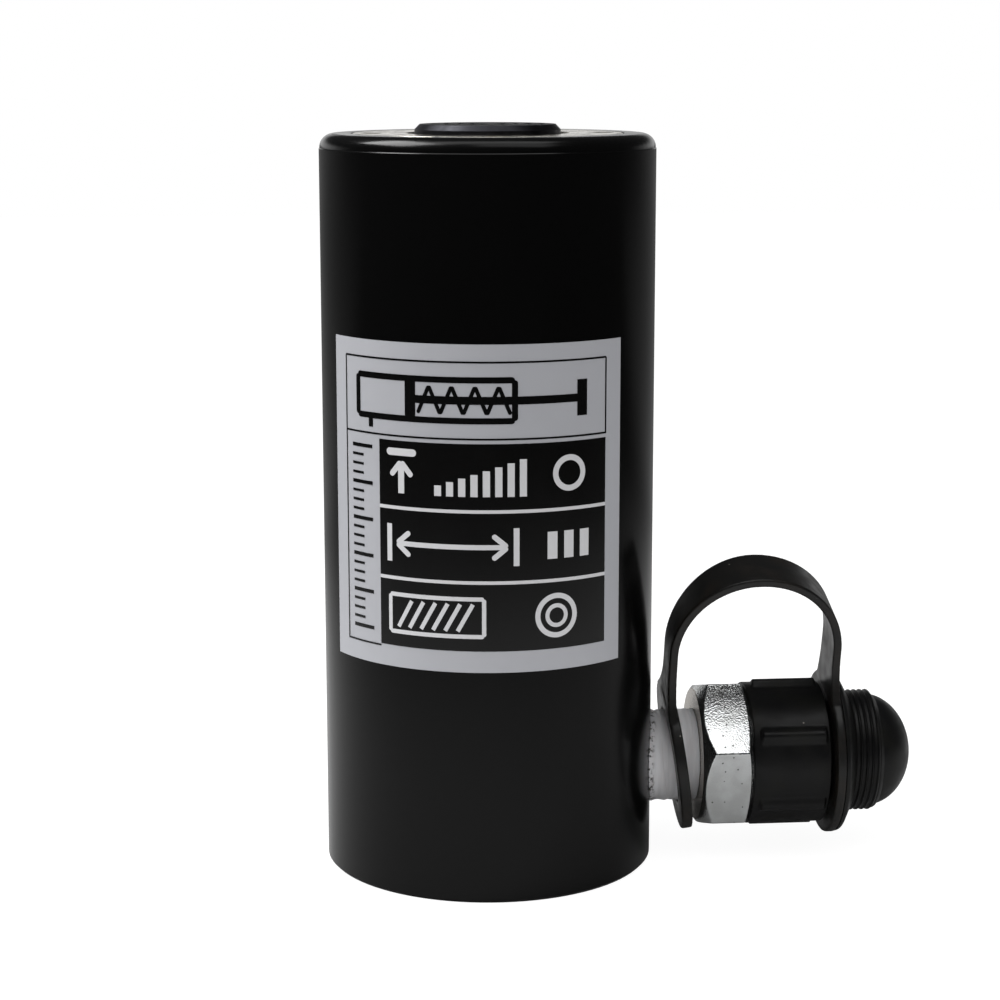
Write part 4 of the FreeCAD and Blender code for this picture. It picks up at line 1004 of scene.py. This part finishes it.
@dataclass
class DustCap:
    """Moulded cap: ribbed sleeve, neck, collar, screwed nose and round dome, hollow inside."""

    height: float = 19.0
    start: float = 52.15
    sleeve_end: float = 67.6
    bore: float = 12.3
    sleeve: float = 14.4
    rib_top: float = 15.5
    rib_width: float = 4.4
    rib_start: float = 53.6
    rib_end: float = 67.0
    rib_turn: float = 28.7
    rib_count: int = 6
    neck: float = 10.3
    collar_start: float = 70.35
    collar_end: float = 73.3
    collar: float = 16.55
    collar_tip: float = 12.35
    crest: float = 12.35
    root: float = 12.05
    nose_end: float = 79.3
    pitch: float = 1.18
    dome_middle: float = 77.4
    dome_radius: float = 11.48
    dome_length: float = 9.25
    floor: float = 65.3
    core: float = 8.0
    core_end: float = 80.9
    columns: int = 480

    def rib_rise(self, along: np.ndarray, angles: np.ndarray) -> np.ndarray:
        """Height of the ribs over the sleeve: a ridge (1 + cos(pi d / w)) / 2 of the distance d from its middle.

        Args:
            along: distances along the axis, by point.
            angles: column angles in radians, by point.

        Returns:
            Heights in mm.
        """
        sector = FULL_TURN / self.rib_count
        away = np.abs((angles - math.radians(self.rib_turn) + sector / 2.0) % sector - sector / 2.0) * self.sleeve
        across = 0.5 + 0.5 * np.cos(math.pi * np.minimum(away / (self.rib_width / 2.0), 1.0))
        ends = ease(self.rib_start - 0.3, self.rib_start + 0.5, along) * (
            1.0 - ease(self.rib_end - 0.5, self.rib_end + 0.2, along))
        return (self.rib_top - self.sleeve) * across * ends

    def sleeve_rows(self, angles: np.ndarray) -> tuple[np.ndarray, np.ndarray]:
        """The ribbed sleeve with a soft lip at its mouth and a rounded rear edge."""
        fine = np.concatenate([
            np.linspace(self.start + 0.65, self.rib_start - 0.35, 4),
            np.linspace(self.rib_start - 0.3, self.rib_start + 0.5, 9),
            np.linspace(self.rib_start + 1.0, self.rib_end - 1.0, 12),
            np.linspace(self.rib_end - 0.5, self.rib_end + 0.2, 9),
        ])[:, None]
        along = fine + 0.0 * angles
        return along, self.sleeve + self.rib_rise(along, angles + 0.0 * along)

    def nose_rows(self, angles: np.ndarray) -> tuple[np.ndarray, np.ndarray]:
        """The nose's round thread: a wave of the phase (along / pitch - angle / turn) between root and crest."""
        along = np.arange(self.collar_end + 0.05, self.nose_end - 0.02, 0.09)[:, None] + 0.0 * angles
        phase = (along / self.pitch - angles / FULL_TURN) % 1.0
        wave = 1.0 - ease(0.18, 0.5, np.abs(phase - 0.5))
        thread = self.root + (self.crest - self.root) * (1.0 - wave)
        end = ease(self.nose_end - 1.0, self.nose_end, along)
        return along, thread + (self.dome_edge() - thread) * end

    def dome_start(self) -> float:
        """The angle t at which the dome's ellipse leaves the thread: asin((end - middle) / a)."""
        return math.asin((self.nose_end - self.dome_middle) / self.dome_length)

    def dome_edge(self) -> float:
        """The dome's radius where the thread ends."""
        return self.dome_radius * math.cos(self.dome_start())

    def dome_rows(self) -> np.ndarray:
        """The dome's ellipse: radius b cos t at a sin t past its middle, up to a right angle."""
        angle = np.linspace(self.dome_start(), math.pi / 2.0, 34)
        return np.stack([self.dome_middle + self.dome_length * np.sin(angle), self.dome_radius * np.cos(angle)],
                        axis=1)

    def shell(self) -> Shell:
        """The cap's whole skin, from the mouth over the ribs to the dome's tip and back through the bore."""
        angles = np.linspace(0.0, FULL_TURN, self.columns, endpoint=False)
        width = np.zeros_like(angles)
        mouth = rounded_outline((
            (self.start + 0.6, self.bore, 0.0), (self.start, self.bore + 0.5, 0.15),
            (self.start, self.sleeve, 0.3), (self.start + 0.6, self.sleeve, 0.0),
        ), closed=False)
        neck = rounded_outline((
            (self.rib_end + 0.35, self.sleeve, 0.0), (self.sleeve_end, self.sleeve, 0.2),
            (self.sleeve_end, self.neck, 0.2), (self.collar_start, self.neck, 0.2),
            (self.collar_start, self.collar, 0.05), (self.collar_start + 0.85, self.collar - 0.2, 1.3),
            (self.collar_end, self.collar_tip, 0.3), (self.collar_end + 0.05, self.root, 0.0),
        ), closed=False)
        sleeve_along, sleeve_radius = self.sleeve_rows(angles)
        nose_along, nose_radius = self.nose_rows(angles)
        dome = self.dome_rows()
        outer_along = np.vstack([mouth[:, :1] + width, sleeve_along, neck[:, :1] + width, nose_along,
                                 dome[:, :1] + width])
        outer_radius = np.vstack([mouth[:, 1:] + width, sleeve_radius, neck[:, 1:] + width, nose_radius,
                                  dome[:, 1:] + width])
        inside = rounded_outline((
            (self.core_end, 0.0, 0.0), (self.core_end, self.core / 2.0, 0.6), (self.core_end - 2.0, self.core, 0.8),
            (self.floor, self.core, 0.4), (self.floor, self.bore, 0.3), (self.start + 0.6, self.bore, 0.0),
        ), closed=False)
        along = np.vstack([outer_along, inside[:, :1] + width])
        radius = np.vstack([outer_radius, inside[:, 1:] + width])
        grid = turned(along, radius, angles, Axis.COUPLER, self.height)
        outer_count = len(outer_along)
        return Shell(np.vstack([grid[outer_count:], grid[:outer_count]]))

    def build(self) -> list[bpy.types.Object]:
        """Makes the cap in place of its plain solid."""
        piece = make_piece("screwed_dust_cap", [self.shell()])
        CAP_PLASTIC.dress(piece)
        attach(piece, Body.CAP.value)
        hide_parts("dust_cap")
        return [piece]


@dataclass
class Strap:
    """One soft moulding: an arched band with a ring round the cap's neck and a loose ring on the stem."""

    height: float = 19.0
    thickness: float = 1.7
    width: float = 11.3
    front_halves: tuple[float, float, float] = (5.35, 5.65, 4.2)
    back_halves: tuple[float, float, float] = (2.6, 5.65, 6.7)
    tab_width: float = 17.0
    lean: float = 15.6
    left_leg: float = 35.9
    right_leg: float = 69.1
    leg_height: float = 25.5
    leg_foot: float = 13.6
    cap_ring_start: float = 68.5
    cap_ring_thickness: float = 1.8
    cap_ring_radius: float = 16.65
    cap_ring_hole: float = 10.6
    neck_ring_middle: float = 38.15
    neck_ring_thickness: float = 2.2
    neck_ring_radius: float = 15.2
    neck_ring_hole: float = 9.9
    neck_ring_tilt: float = 8.5
    tab_top: float = 6.5
    voxel: float = 0.24

    def leaning(self, along: np.ndarray, out: np.ndarray, aside: np.ndarray) -> np.ndarray:
        """Turns (along, out, aside) about the coupler's axis by the lean towards the front.

        Args:
            along: distances along the coupler's axis in mm.
            out: distances out from that axis in the arch's plane.
            aside: distances square to the arch's plane, towards the front.

        Returns:
            Points in space.
        """
        lean = math.radians(self.lean)
        across = -out * math.sin(lean) - aside * math.cos(lean)
        up = self.height + out * math.cos(lean) - aside * math.sin(lean)
        return np.stack(np.broadcast_arrays(along, across, up), axis=-1)

    def edge(self, halves: tuple[float, float, float], share: np.ndarray) -> np.ndarray:
        """Half widths that pass smoothly from the left leg's over the crown's to the right leg's."""
        left, crown, right = halves
        return left + (crown - left) * ease(0.0, 0.5, share) + (right - crown) * ease(0.5, 1.0, share)

    def band(self) -> Shell:
        """The arch and its legs: a rounded flat section carried along a half circle between two straight legs.

        The band is not cut quite true: its front and back edges drift from leg to crown to leg.
        """
        middle = (self.left_leg + self.right_leg) / 2.0
        radius = (self.right_leg - self.left_leg) / 2.0
        foot = np.linspace(self.leg_foot, self.leg_height, 16)[:-1]
        turn = np.linspace(math.pi, 0.0, 80)
        along = np.concatenate([np.full(len(foot), self.left_leg), middle + radius * np.cos(turn),
                                np.full(len(foot), self.right_leg)])
        out = np.concatenate([foot, self.leg_height + radius * np.sin(turn), foot[::-1]])
        normal_angle = np.concatenate([np.full(len(foot), math.pi), turn, np.zeros(len(foot))])
        half, thick = self.width / 2.0, self.thickness / 2.0
        section = rounded_outline(((-half, -thick, 0.35), (half, -thick, 0.35), (half, thick, 0.35),
                                   (-half, thick, 0.35)), closed=True, steps=4)
        rise = section[:, 1][None]
        share = 1.0 - normal_angle / math.pi
        drift = np.where(section[:, 0][None] > 0.0, self.edge(self.front_halves, share)[:, None] - half,
                         half - self.edge(self.back_halves, share)[:, None])
        rows = self.leaning(along[:, None] + rise * np.cos(normal_angle)[:, None],
                            out[:, None] + rise * np.sin(normal_angle)[:, None], section[:, 0][None] + drift)
        ends = [np.repeat(rows[i:i + 1].mean(axis=1, keepdims=True), rows.shape[1], axis=1) for i in (0, -1)]
        return Shell(np.vstack([ends[0], rows, ends[1]]))

    def disc(self, middle: float, thickness: float, radius: float, hole: float, tilt: float) -> Shell:
        """A flat ring across the coupler's axis, tilted in the arch's plane so that its top comes back."""
        angles = np.linspace(0.0, FULL_TURN, 160, endpoint=False)
        half = thickness / 2.0
        section = rounded_outline(((-half, hole, 0.2), (half, hole, 0.2), (half, radius, 0.15),
                                   (-half, radius, 0.4)), closed=True, steps=5)
        along, out, aside = (section[:, :1] + 0.0 * angles, section[:, 1:] * np.cos(angles),
                             section[:, 1:] * np.sin(angles))
        angle = math.radians(tilt)
        turned_along = middle + along * math.cos(angle) - out * math.sin(angle)
        turned_out = along * math.sin(angle) + out * math.cos(angle)
        return Shell(self.leaning(turned_along, turned_out, aside), ring_rows=True)

    def tab(self, leg: float, hole: float, radius: float, end: int) -> Shell:
        """The flared foot of a leg: its half width is h + (w - h)(1 - t)^2 from the ring to the band, with t 0 to 1.

        Args:
            leg: the leg's middle along the axis in mm.
            hole: the ring's hole radius.
            radius: the ring's outer radius.
            end: 0 for the left leg, 2 for the right one.

        Returns:
            The plate's skin.
        """
        share = np.linspace(0.0, 1.0, 12)
        out = (hole + radius) / 2.0 + share * (radius + self.tab_top - (hole + radius) / 2.0)
        front, back = (halves[end] + (self.tab_width / 2.0 - halves[end]) * (1.0 - share) ** 2
                       for halves in (self.front_halves, self.back_halves))
        thick = self.thickness / 2.0 - 0.02
        rows = self.leaning(leg + thick * np.array([[-1.0, 1.0, 1.0, -1.0]]), out[:, None],
                            np.stack([-back, -back, front, front], axis=1))
        ends = [np.repeat(rows[i:i + 1].mean(axis=1, keepdims=True), 4, axis=1) for i in (0, -1)]
        return Shell(np.vstack([ends[0], rows, ends[1]]))

    def build(self) -> list[bpy.types.Object]:
        """Joins the skins into one soft moulding by remeshing and smoothing."""
        ring_middle = self.cap_ring_start + self.cap_ring_thickness / 2.0
        shells = [
            self.band(),
            self.disc(ring_middle, self.cap_ring_thickness, self.cap_ring_radius, self.cap_ring_hole, 0.0),
            self.disc(self.neck_ring_middle, self.neck_ring_thickness, self.neck_ring_radius,
                      self.neck_ring_hole, self.neck_ring_tilt),
            self.tab(self.left_leg, self.neck_ring_hole, self.neck_ring_radius, 0),
            self.tab(self.right_leg, self.cap_ring_hole, self.cap_ring_radius, 2),
        ]
        piece = make_piece("cap_strap_moulding", shells)
        settle(piece, ("REMESH", {"mode": "VOXEL", "voxel_size": self.voxel * MM}),
               ("SMOOTH", {"factor": 0.5, "iterations": 3}))
        STRAP_RUBBER.dress(piece)
        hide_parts("cap_strap")
        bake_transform(piece)
        return [piece]


# Springs inside


@dataclass
class Coil:
    """A wire spring between two bodies."""

    name: str
    replaced: str
    low: float
    high: float
    radius: float
    wire: float
    turns: float
    axis: Axis
    bodies: tuple[Body, Body]
    height: float = 19.0
    steps_a_turn: int = 48
    sides: int = 14

    def shell(self) -> Shell:
        """A round wire on a helix: the centre is (R cos t, R sin t, low + t pitch / turn)."""
        count = round(self.turns * self.steps_a_turn) + 1
        angle = np.linspace(0.0, self.turns * FULL_TURN, count)
        along = np.linspace(self.low + self.wire, self.high - self.wire, count)
        rise = (self.high - self.low - 2.0 * self.wire) / (self.turns * FULL_TURN)
        slope = math.atan2(rise, self.radius)
        out = np.stack([np.cos(angle), np.sin(angle), np.zeros(count)], axis=1)
        path = out * self.radius + np.stack([np.zeros(count), np.zeros(count), along], axis=1)
        upright = np.stack([np.sin(angle) * math.sin(slope), -np.cos(angle) * math.sin(slope),
                            np.full(count, math.cos(slope))], axis=1)
        around = np.linspace(0.0, FULL_TURN, self.sides, endpoint=False)
        section = self.wire * np.stack([np.cos(around), np.sin(around)], axis=1)
        grid = tube(path, out, upright, section)
        if self.axis is Axis.COUPLER:
            grid = np.stack([grid[..., 2], grid[..., 0], self.height + grid[..., 1]], axis=-1)
        return Shell(grid)

    def build(self) -> list[bpy.types.Object]:
        """Winds the spring in place of its solid."""
        piece = make_piece(self.name, [self.shell()])
        SPRING_WIRE.dress(piece)
        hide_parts(self.replaced)
        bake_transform(piece)
        return [piece]


# Solids that keep their own shape


NODE_FINISHES: dict[str, Finish] = {
    "cylinder_body": ANODISED,
    "gland_nut": GLAND_FACE,
    "rod_bearing": BRONZE,
    "rod_wiper": SEAL,
    "spring_washer_upper": SPRING_WIRE,
    "spring_washer_lower": SPRING_WIRE,
    "label_plate": LABEL_SILVER,
    "valve_cage": ZINC,
    "valve_snap_ring": SPRING_WIRE,
    "coupler_seal": SEAL,
    "plunger": CHROME,
    "saddle": OIL_BLACK,
    "saddle_o_ring": SEAL,
    "piston_seal": SEAL,
    "backup_ring": GUIDE_PLASTIC,
    "piston_wear_ring": GUIDE_PLASTIC,
    "valve_ball": CHROME,
}


def dress_nodes() -> None:
    """Gives each carried-over solid its finish."""
    for name, finish in NODE_FINISHES.items():
        finish.dress(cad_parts[name])
        log.info("dressed %s with %s", name, finish.name)


# Studio


@dataclass
class Studio:
    """A pale table, a white surround, soft lamps and the camera."""

    table_size: float = 4000.0
    table_glow: float = 0.93
    table_share: float = 0.2
    # A painted pool of light on the table, seen only in mirrors: its centre, reach and whites.
    light_pool_centre: tuple[float, float] = (40.0, 20.0)
    light_pool_reach: tuple[float, float] = (120.0, 480.0)
    light_pool_white: tuple[float, float] = (0.45, 0.045)
    back_light_pool: float = 0.24
    room: str = "#3A3A3B"
    wall: str = "#727272"
    skyline: str = "#E6E6E6"
    ambient: float = 0.6
    camera_place: tuple[float, float, float] = (-38.82, -465.31, 159.19)
    yaw: float = 5.055
    pitch: float = 10.51
    roll: float = -0.059
    lens: float = 85.719
    sensor: float = 36.0

    def seen_rays(self, tree: bpy.types.NodeTree) -> tuple[bpy.types.NodeSocket, bpy.types.NodeSocket]:
        """The light path's camera mask, and its mask of camera, glossy and transmission rays together."""
        path = add_node(tree, "ShaderNodeLightPath")
        camera = path.outputs["Is Camera Ray"]
        mirror = add_node(tree, "ShaderNodeMath", {0: path.outputs["Is Glossy Ray"],
                                                   1: path.outputs["Is Transmission Ray"]}, operation="MAXIMUM")
        seen = add_node(tree, "ShaderNodeMath", {0: camera, 1: mirror.outputs[0]}, operation="MAXIMUM")
        return camera, seen.outputs[0]

    def surround(self) -> None:
        """White to the eye; in mirrors a grey wall with a white skyline behind the object and a dim room else."""
        world = bpy.data.worlds.new("white_surround")
        world.use_nodes = True
        bpy.context.scene.world = world
        tree = world.node_tree
        tree.nodes.clear()
        camera, seen = self.seen_rays(tree)
        direction = add_node(tree, "ShaderNodeTexCoord").outputs["Generated"]
        parts = add_node(tree, "ShaderNodeSeparateXYZ", {"Vector": direction})
        behind = remap(tree, parts.outputs["Y"], (0.3, 0.9))
        low = remap(tree, parts.outputs["Z"], (0.26, 0.1))
        share = add_node(tree, "ShaderNodeMath", {0: behind, 1: low}, operation="MULTIPLY")
        far = mix_colour(tree, remap(tree, parts.outputs["Z"], (0.0, 0.02)), linear(self.wall), linear(self.skyline))
        mirrored = mix_colour(tree, share.outputs[0], linear(self.room), far)
        shown = mix_colour(tree, camera, mirrored, linear("#FFFFFF"))
        visible = add_node(tree, "ShaderNodeBackground", {"Color": shown, "Strength": 1.0})
        lighting = add_node(tree, "ShaderNodeBackground", {"Color": linear("#FFFFFF"), "Strength": self.ambient})
        mixed = add_node(tree, "ShaderNodeMixShader", {0: seen, 1: lighting.outputs[0], 2: visible.outputs[0]})
        add_node(tree, "ShaderNodeOutputWorld", {"Surface": mixed.outputs[0]})

    def table(self) -> bpy.types.Object:
        """A pale table top, white to the eye; in mirrors its white is a painted pool of light that fades with the
        distance from the object, less behind it.
        """
        half = self.table_size / 2.0 * MM
        mesh = bpy.data.meshes.new("table_top")
        mesh.from_pydata([(-half, -half, 0.0), (half, -half, 0.0), (half, half, 0.0), (-half, half, 0.0)], [],
                         [(0, 1, 2, 3)])
        top = bpy.data.objects.new("table_top", mesh)
        bpy.context.scene.collection.objects.link(top)
        paper = bpy.data.materials.new("table_paper_with_light_pool")
        paper.use_nodes = True
        tree = paper.node_tree
        tree.nodes.clear()
        camera, seen = self.seen_rays(tree)
        place = add_node(tree, "ShaderNodeTexCoord").outputs["Object"]
        # Painted light: in mirrors the table's colour is a pool of light that fades with the distance from the object
        # and stays brighter behind it.
        centre = (self.light_pool_centre[0] * MM, self.light_pool_centre[1] * MM, 0.0)
        distance = radial_distance(tree, place, (1.0, 1.0, 0.0), centre)
        reach = (self.light_pool_reach[0] * MM, self.light_pool_reach[1] * MM)
        fade = remap(tree, distance, reach, self.light_pool_white)
        depth = add_node(tree, "ShaderNodeSeparateXYZ", {"Vector": place}).outputs["Y"]
        back = remap(tree, depth, (60.0 * MM, 400.0 * MM), (0.0, self.back_light_pool))
        white = add_node(tree, "ShaderNodeMath", {0: fade, 1: back}, operation="MAXIMUM").outputs[0]
        pool = add_node(tree, "ShaderNodeCombineColor", {"Red": white, "Green": white, "Blue": white})
        mirrored = add_node(tree, "ShaderNodeBsdfDiffuse", {"Color": pool.outputs["Color"]})
        own = add_node(tree, "ShaderNodeEmission", {"Color": linear("#FFFFFF"), "Strength": self.table_glow})
        share = add_node(tree, "ShaderNodeBsdfDiffuse", {"Color": (self.table_share,) * 3 + (1.0,)})
        paper_white = add_node(tree, "ShaderNodeAddShader", {0: own.outputs[0], 1: share.outputs[0]})
        paper_lit = add_node(tree, "ShaderNodeBsdfDiffuse", {"Color": linear("#E4E4E4")})
        shown = add_node(tree, "ShaderNodeMixShader", {0: camera, 1: mirrored.outputs[0],
                                                       2: paper_white.outputs[0]})
        mixed = add_node(tree, "ShaderNodeMixShader", {0: seen, 1: paper_lit.outputs[0], 2: shown.outputs[0]})
        add_node(tree, "ShaderNodeOutputMaterial", {"Surface": mixed.outputs[0]})
        top.data.materials.append(paper)
        return top

    def lamp(self, name: str, place: tuple[float, float, float], target: tuple[float, float, float],
             size: tuple[float, float], radiance: float) -> None:
        """Hangs a soft box that faces a point; its power is pi * area * radiance.

        Args:
            name: the lamp's name.
            place: its middle in mm.
            target: the point it faces in mm.
            size: its width and height in mm.
            radiance: how bright its face looks, where white paper is 1.
        """
        data = bpy.data.lights.new(name, "AREA")
        data.shape = "RECTANGLE"
        data.size, data.size_y = size[0] * MM, size[1] * MM
        data.energy = math.pi * data.size * data.size_y * radiance
        holder = bpy.data.objects.new(name, data)
        bpy.context.scene.collection.objects.link(holder)
        start, end = np.array(place) * MM, np.array(target) * MM
        away = (start - end) / np.linalg.norm(start - end)
        side = np.cross((0.0, 1.0, 0.0) if abs(away[1]) < 0.9 else (1.0, 0.0, 0.0), away)
        side = side / np.linalg.norm(side)
        up = np.cross(away, side)
        holder.matrix_world = Matrix([[side[i], up[i], away[i], start[i]] for i in range(3)] + [[0, 0, 0, 1]])

    def lamps(self) -> None:
        """A wide bright soft box high on the left, a dimmer one high in front and a dim one overhead."""
        self.lamp("high_left_box", (-330.0, 30.0, 560.0), (0.0, 0.0, 100.0), (260.0, 360.0), 14.0)
        self.lamp("high_front_box", (120.0, -295.0, 620.0), (40.0, 0.0, 40.0), (420.0, 240.0), 1.6)
        self.lamp("overhead_box", (20.0, -55.0, 650.0), (20.0, -55.0, 0.0), (440.0, 200.0), 2.4)

    def camera(self) -> None:
        """Places the camera by its yaw, pitch and roll in the reference's square frame."""
        yaw, pitch, roll = (math.radians(a) for a in (self.yaw, self.pitch, self.roll))
        forward = np.array([math.sin(yaw) * math.cos(pitch), math.cos(yaw) * math.cos(pitch), -math.sin(pitch)])
        right = np.array([math.cos(yaw), -math.sin(yaw), 0.0])
        up = np.cross(right, forward)
        turned_right = math.cos(roll) * right + math.sin(roll) * up
        turned_up = -math.sin(roll) * right + math.cos(roll) * up
        data = bpy.data.cameras.new("camera")
        data.lens, data.sensor_width, data.sensor_fit = self.lens, self.sensor, "HORIZONTAL"
        data.clip_start, data.clip_end = 0.01, 50.0
        holder = bpy.data.objects.new("camera", data)
        bpy.context.scene.collection.objects.link(holder)
        place = np.array(self.camera_place) * MM
        holder.matrix_world = Matrix(
            [[turned_right[i], turned_up[i], -forward[i], place[i]] for i in range(3)] + [[0, 0, 0, 1]])
        bpy.context.scene.camera = holder

    def build(self) -> None:
        """Sets up the camera, the surround, the table and the lamps."""
        bpy.context.scene.view_settings.view_transform = "Standard"
        self.camera()
        self.surround()
        self.table()
        self.lamps()


def main() -> None:
    """Builds the studio and every piece in order."""
    logging.basicConfig(level=logging.INFO, format="%(message)s")
    Studio().build()
    dress_nodes()
    makers = (
        Label(),
        Coupler(),
        Tape(),
        DustCap(),
        Strap(),
        Coil("wound_return_spring", "return_spring", 53.2, 125.8, 18.85, 1.8, 6.0, Axis.BARREL,
             (Body.PLUNGER, Body.BARREL), steps_a_turn=72, sides=18),
        Coil("wound_valve_spring", "valve_spring", 38.65, 45.75, 2.9, 0.35, 5.0, Axis.COUPLER,
             (Body.BARREL, Body.VALVE)),
    )
    for maker in makers:
        for piece in maker.build():
            log.info("made %s: %d faces", piece.name, len(piece.data.polygons))


if __name__ == "__main__":
    main()
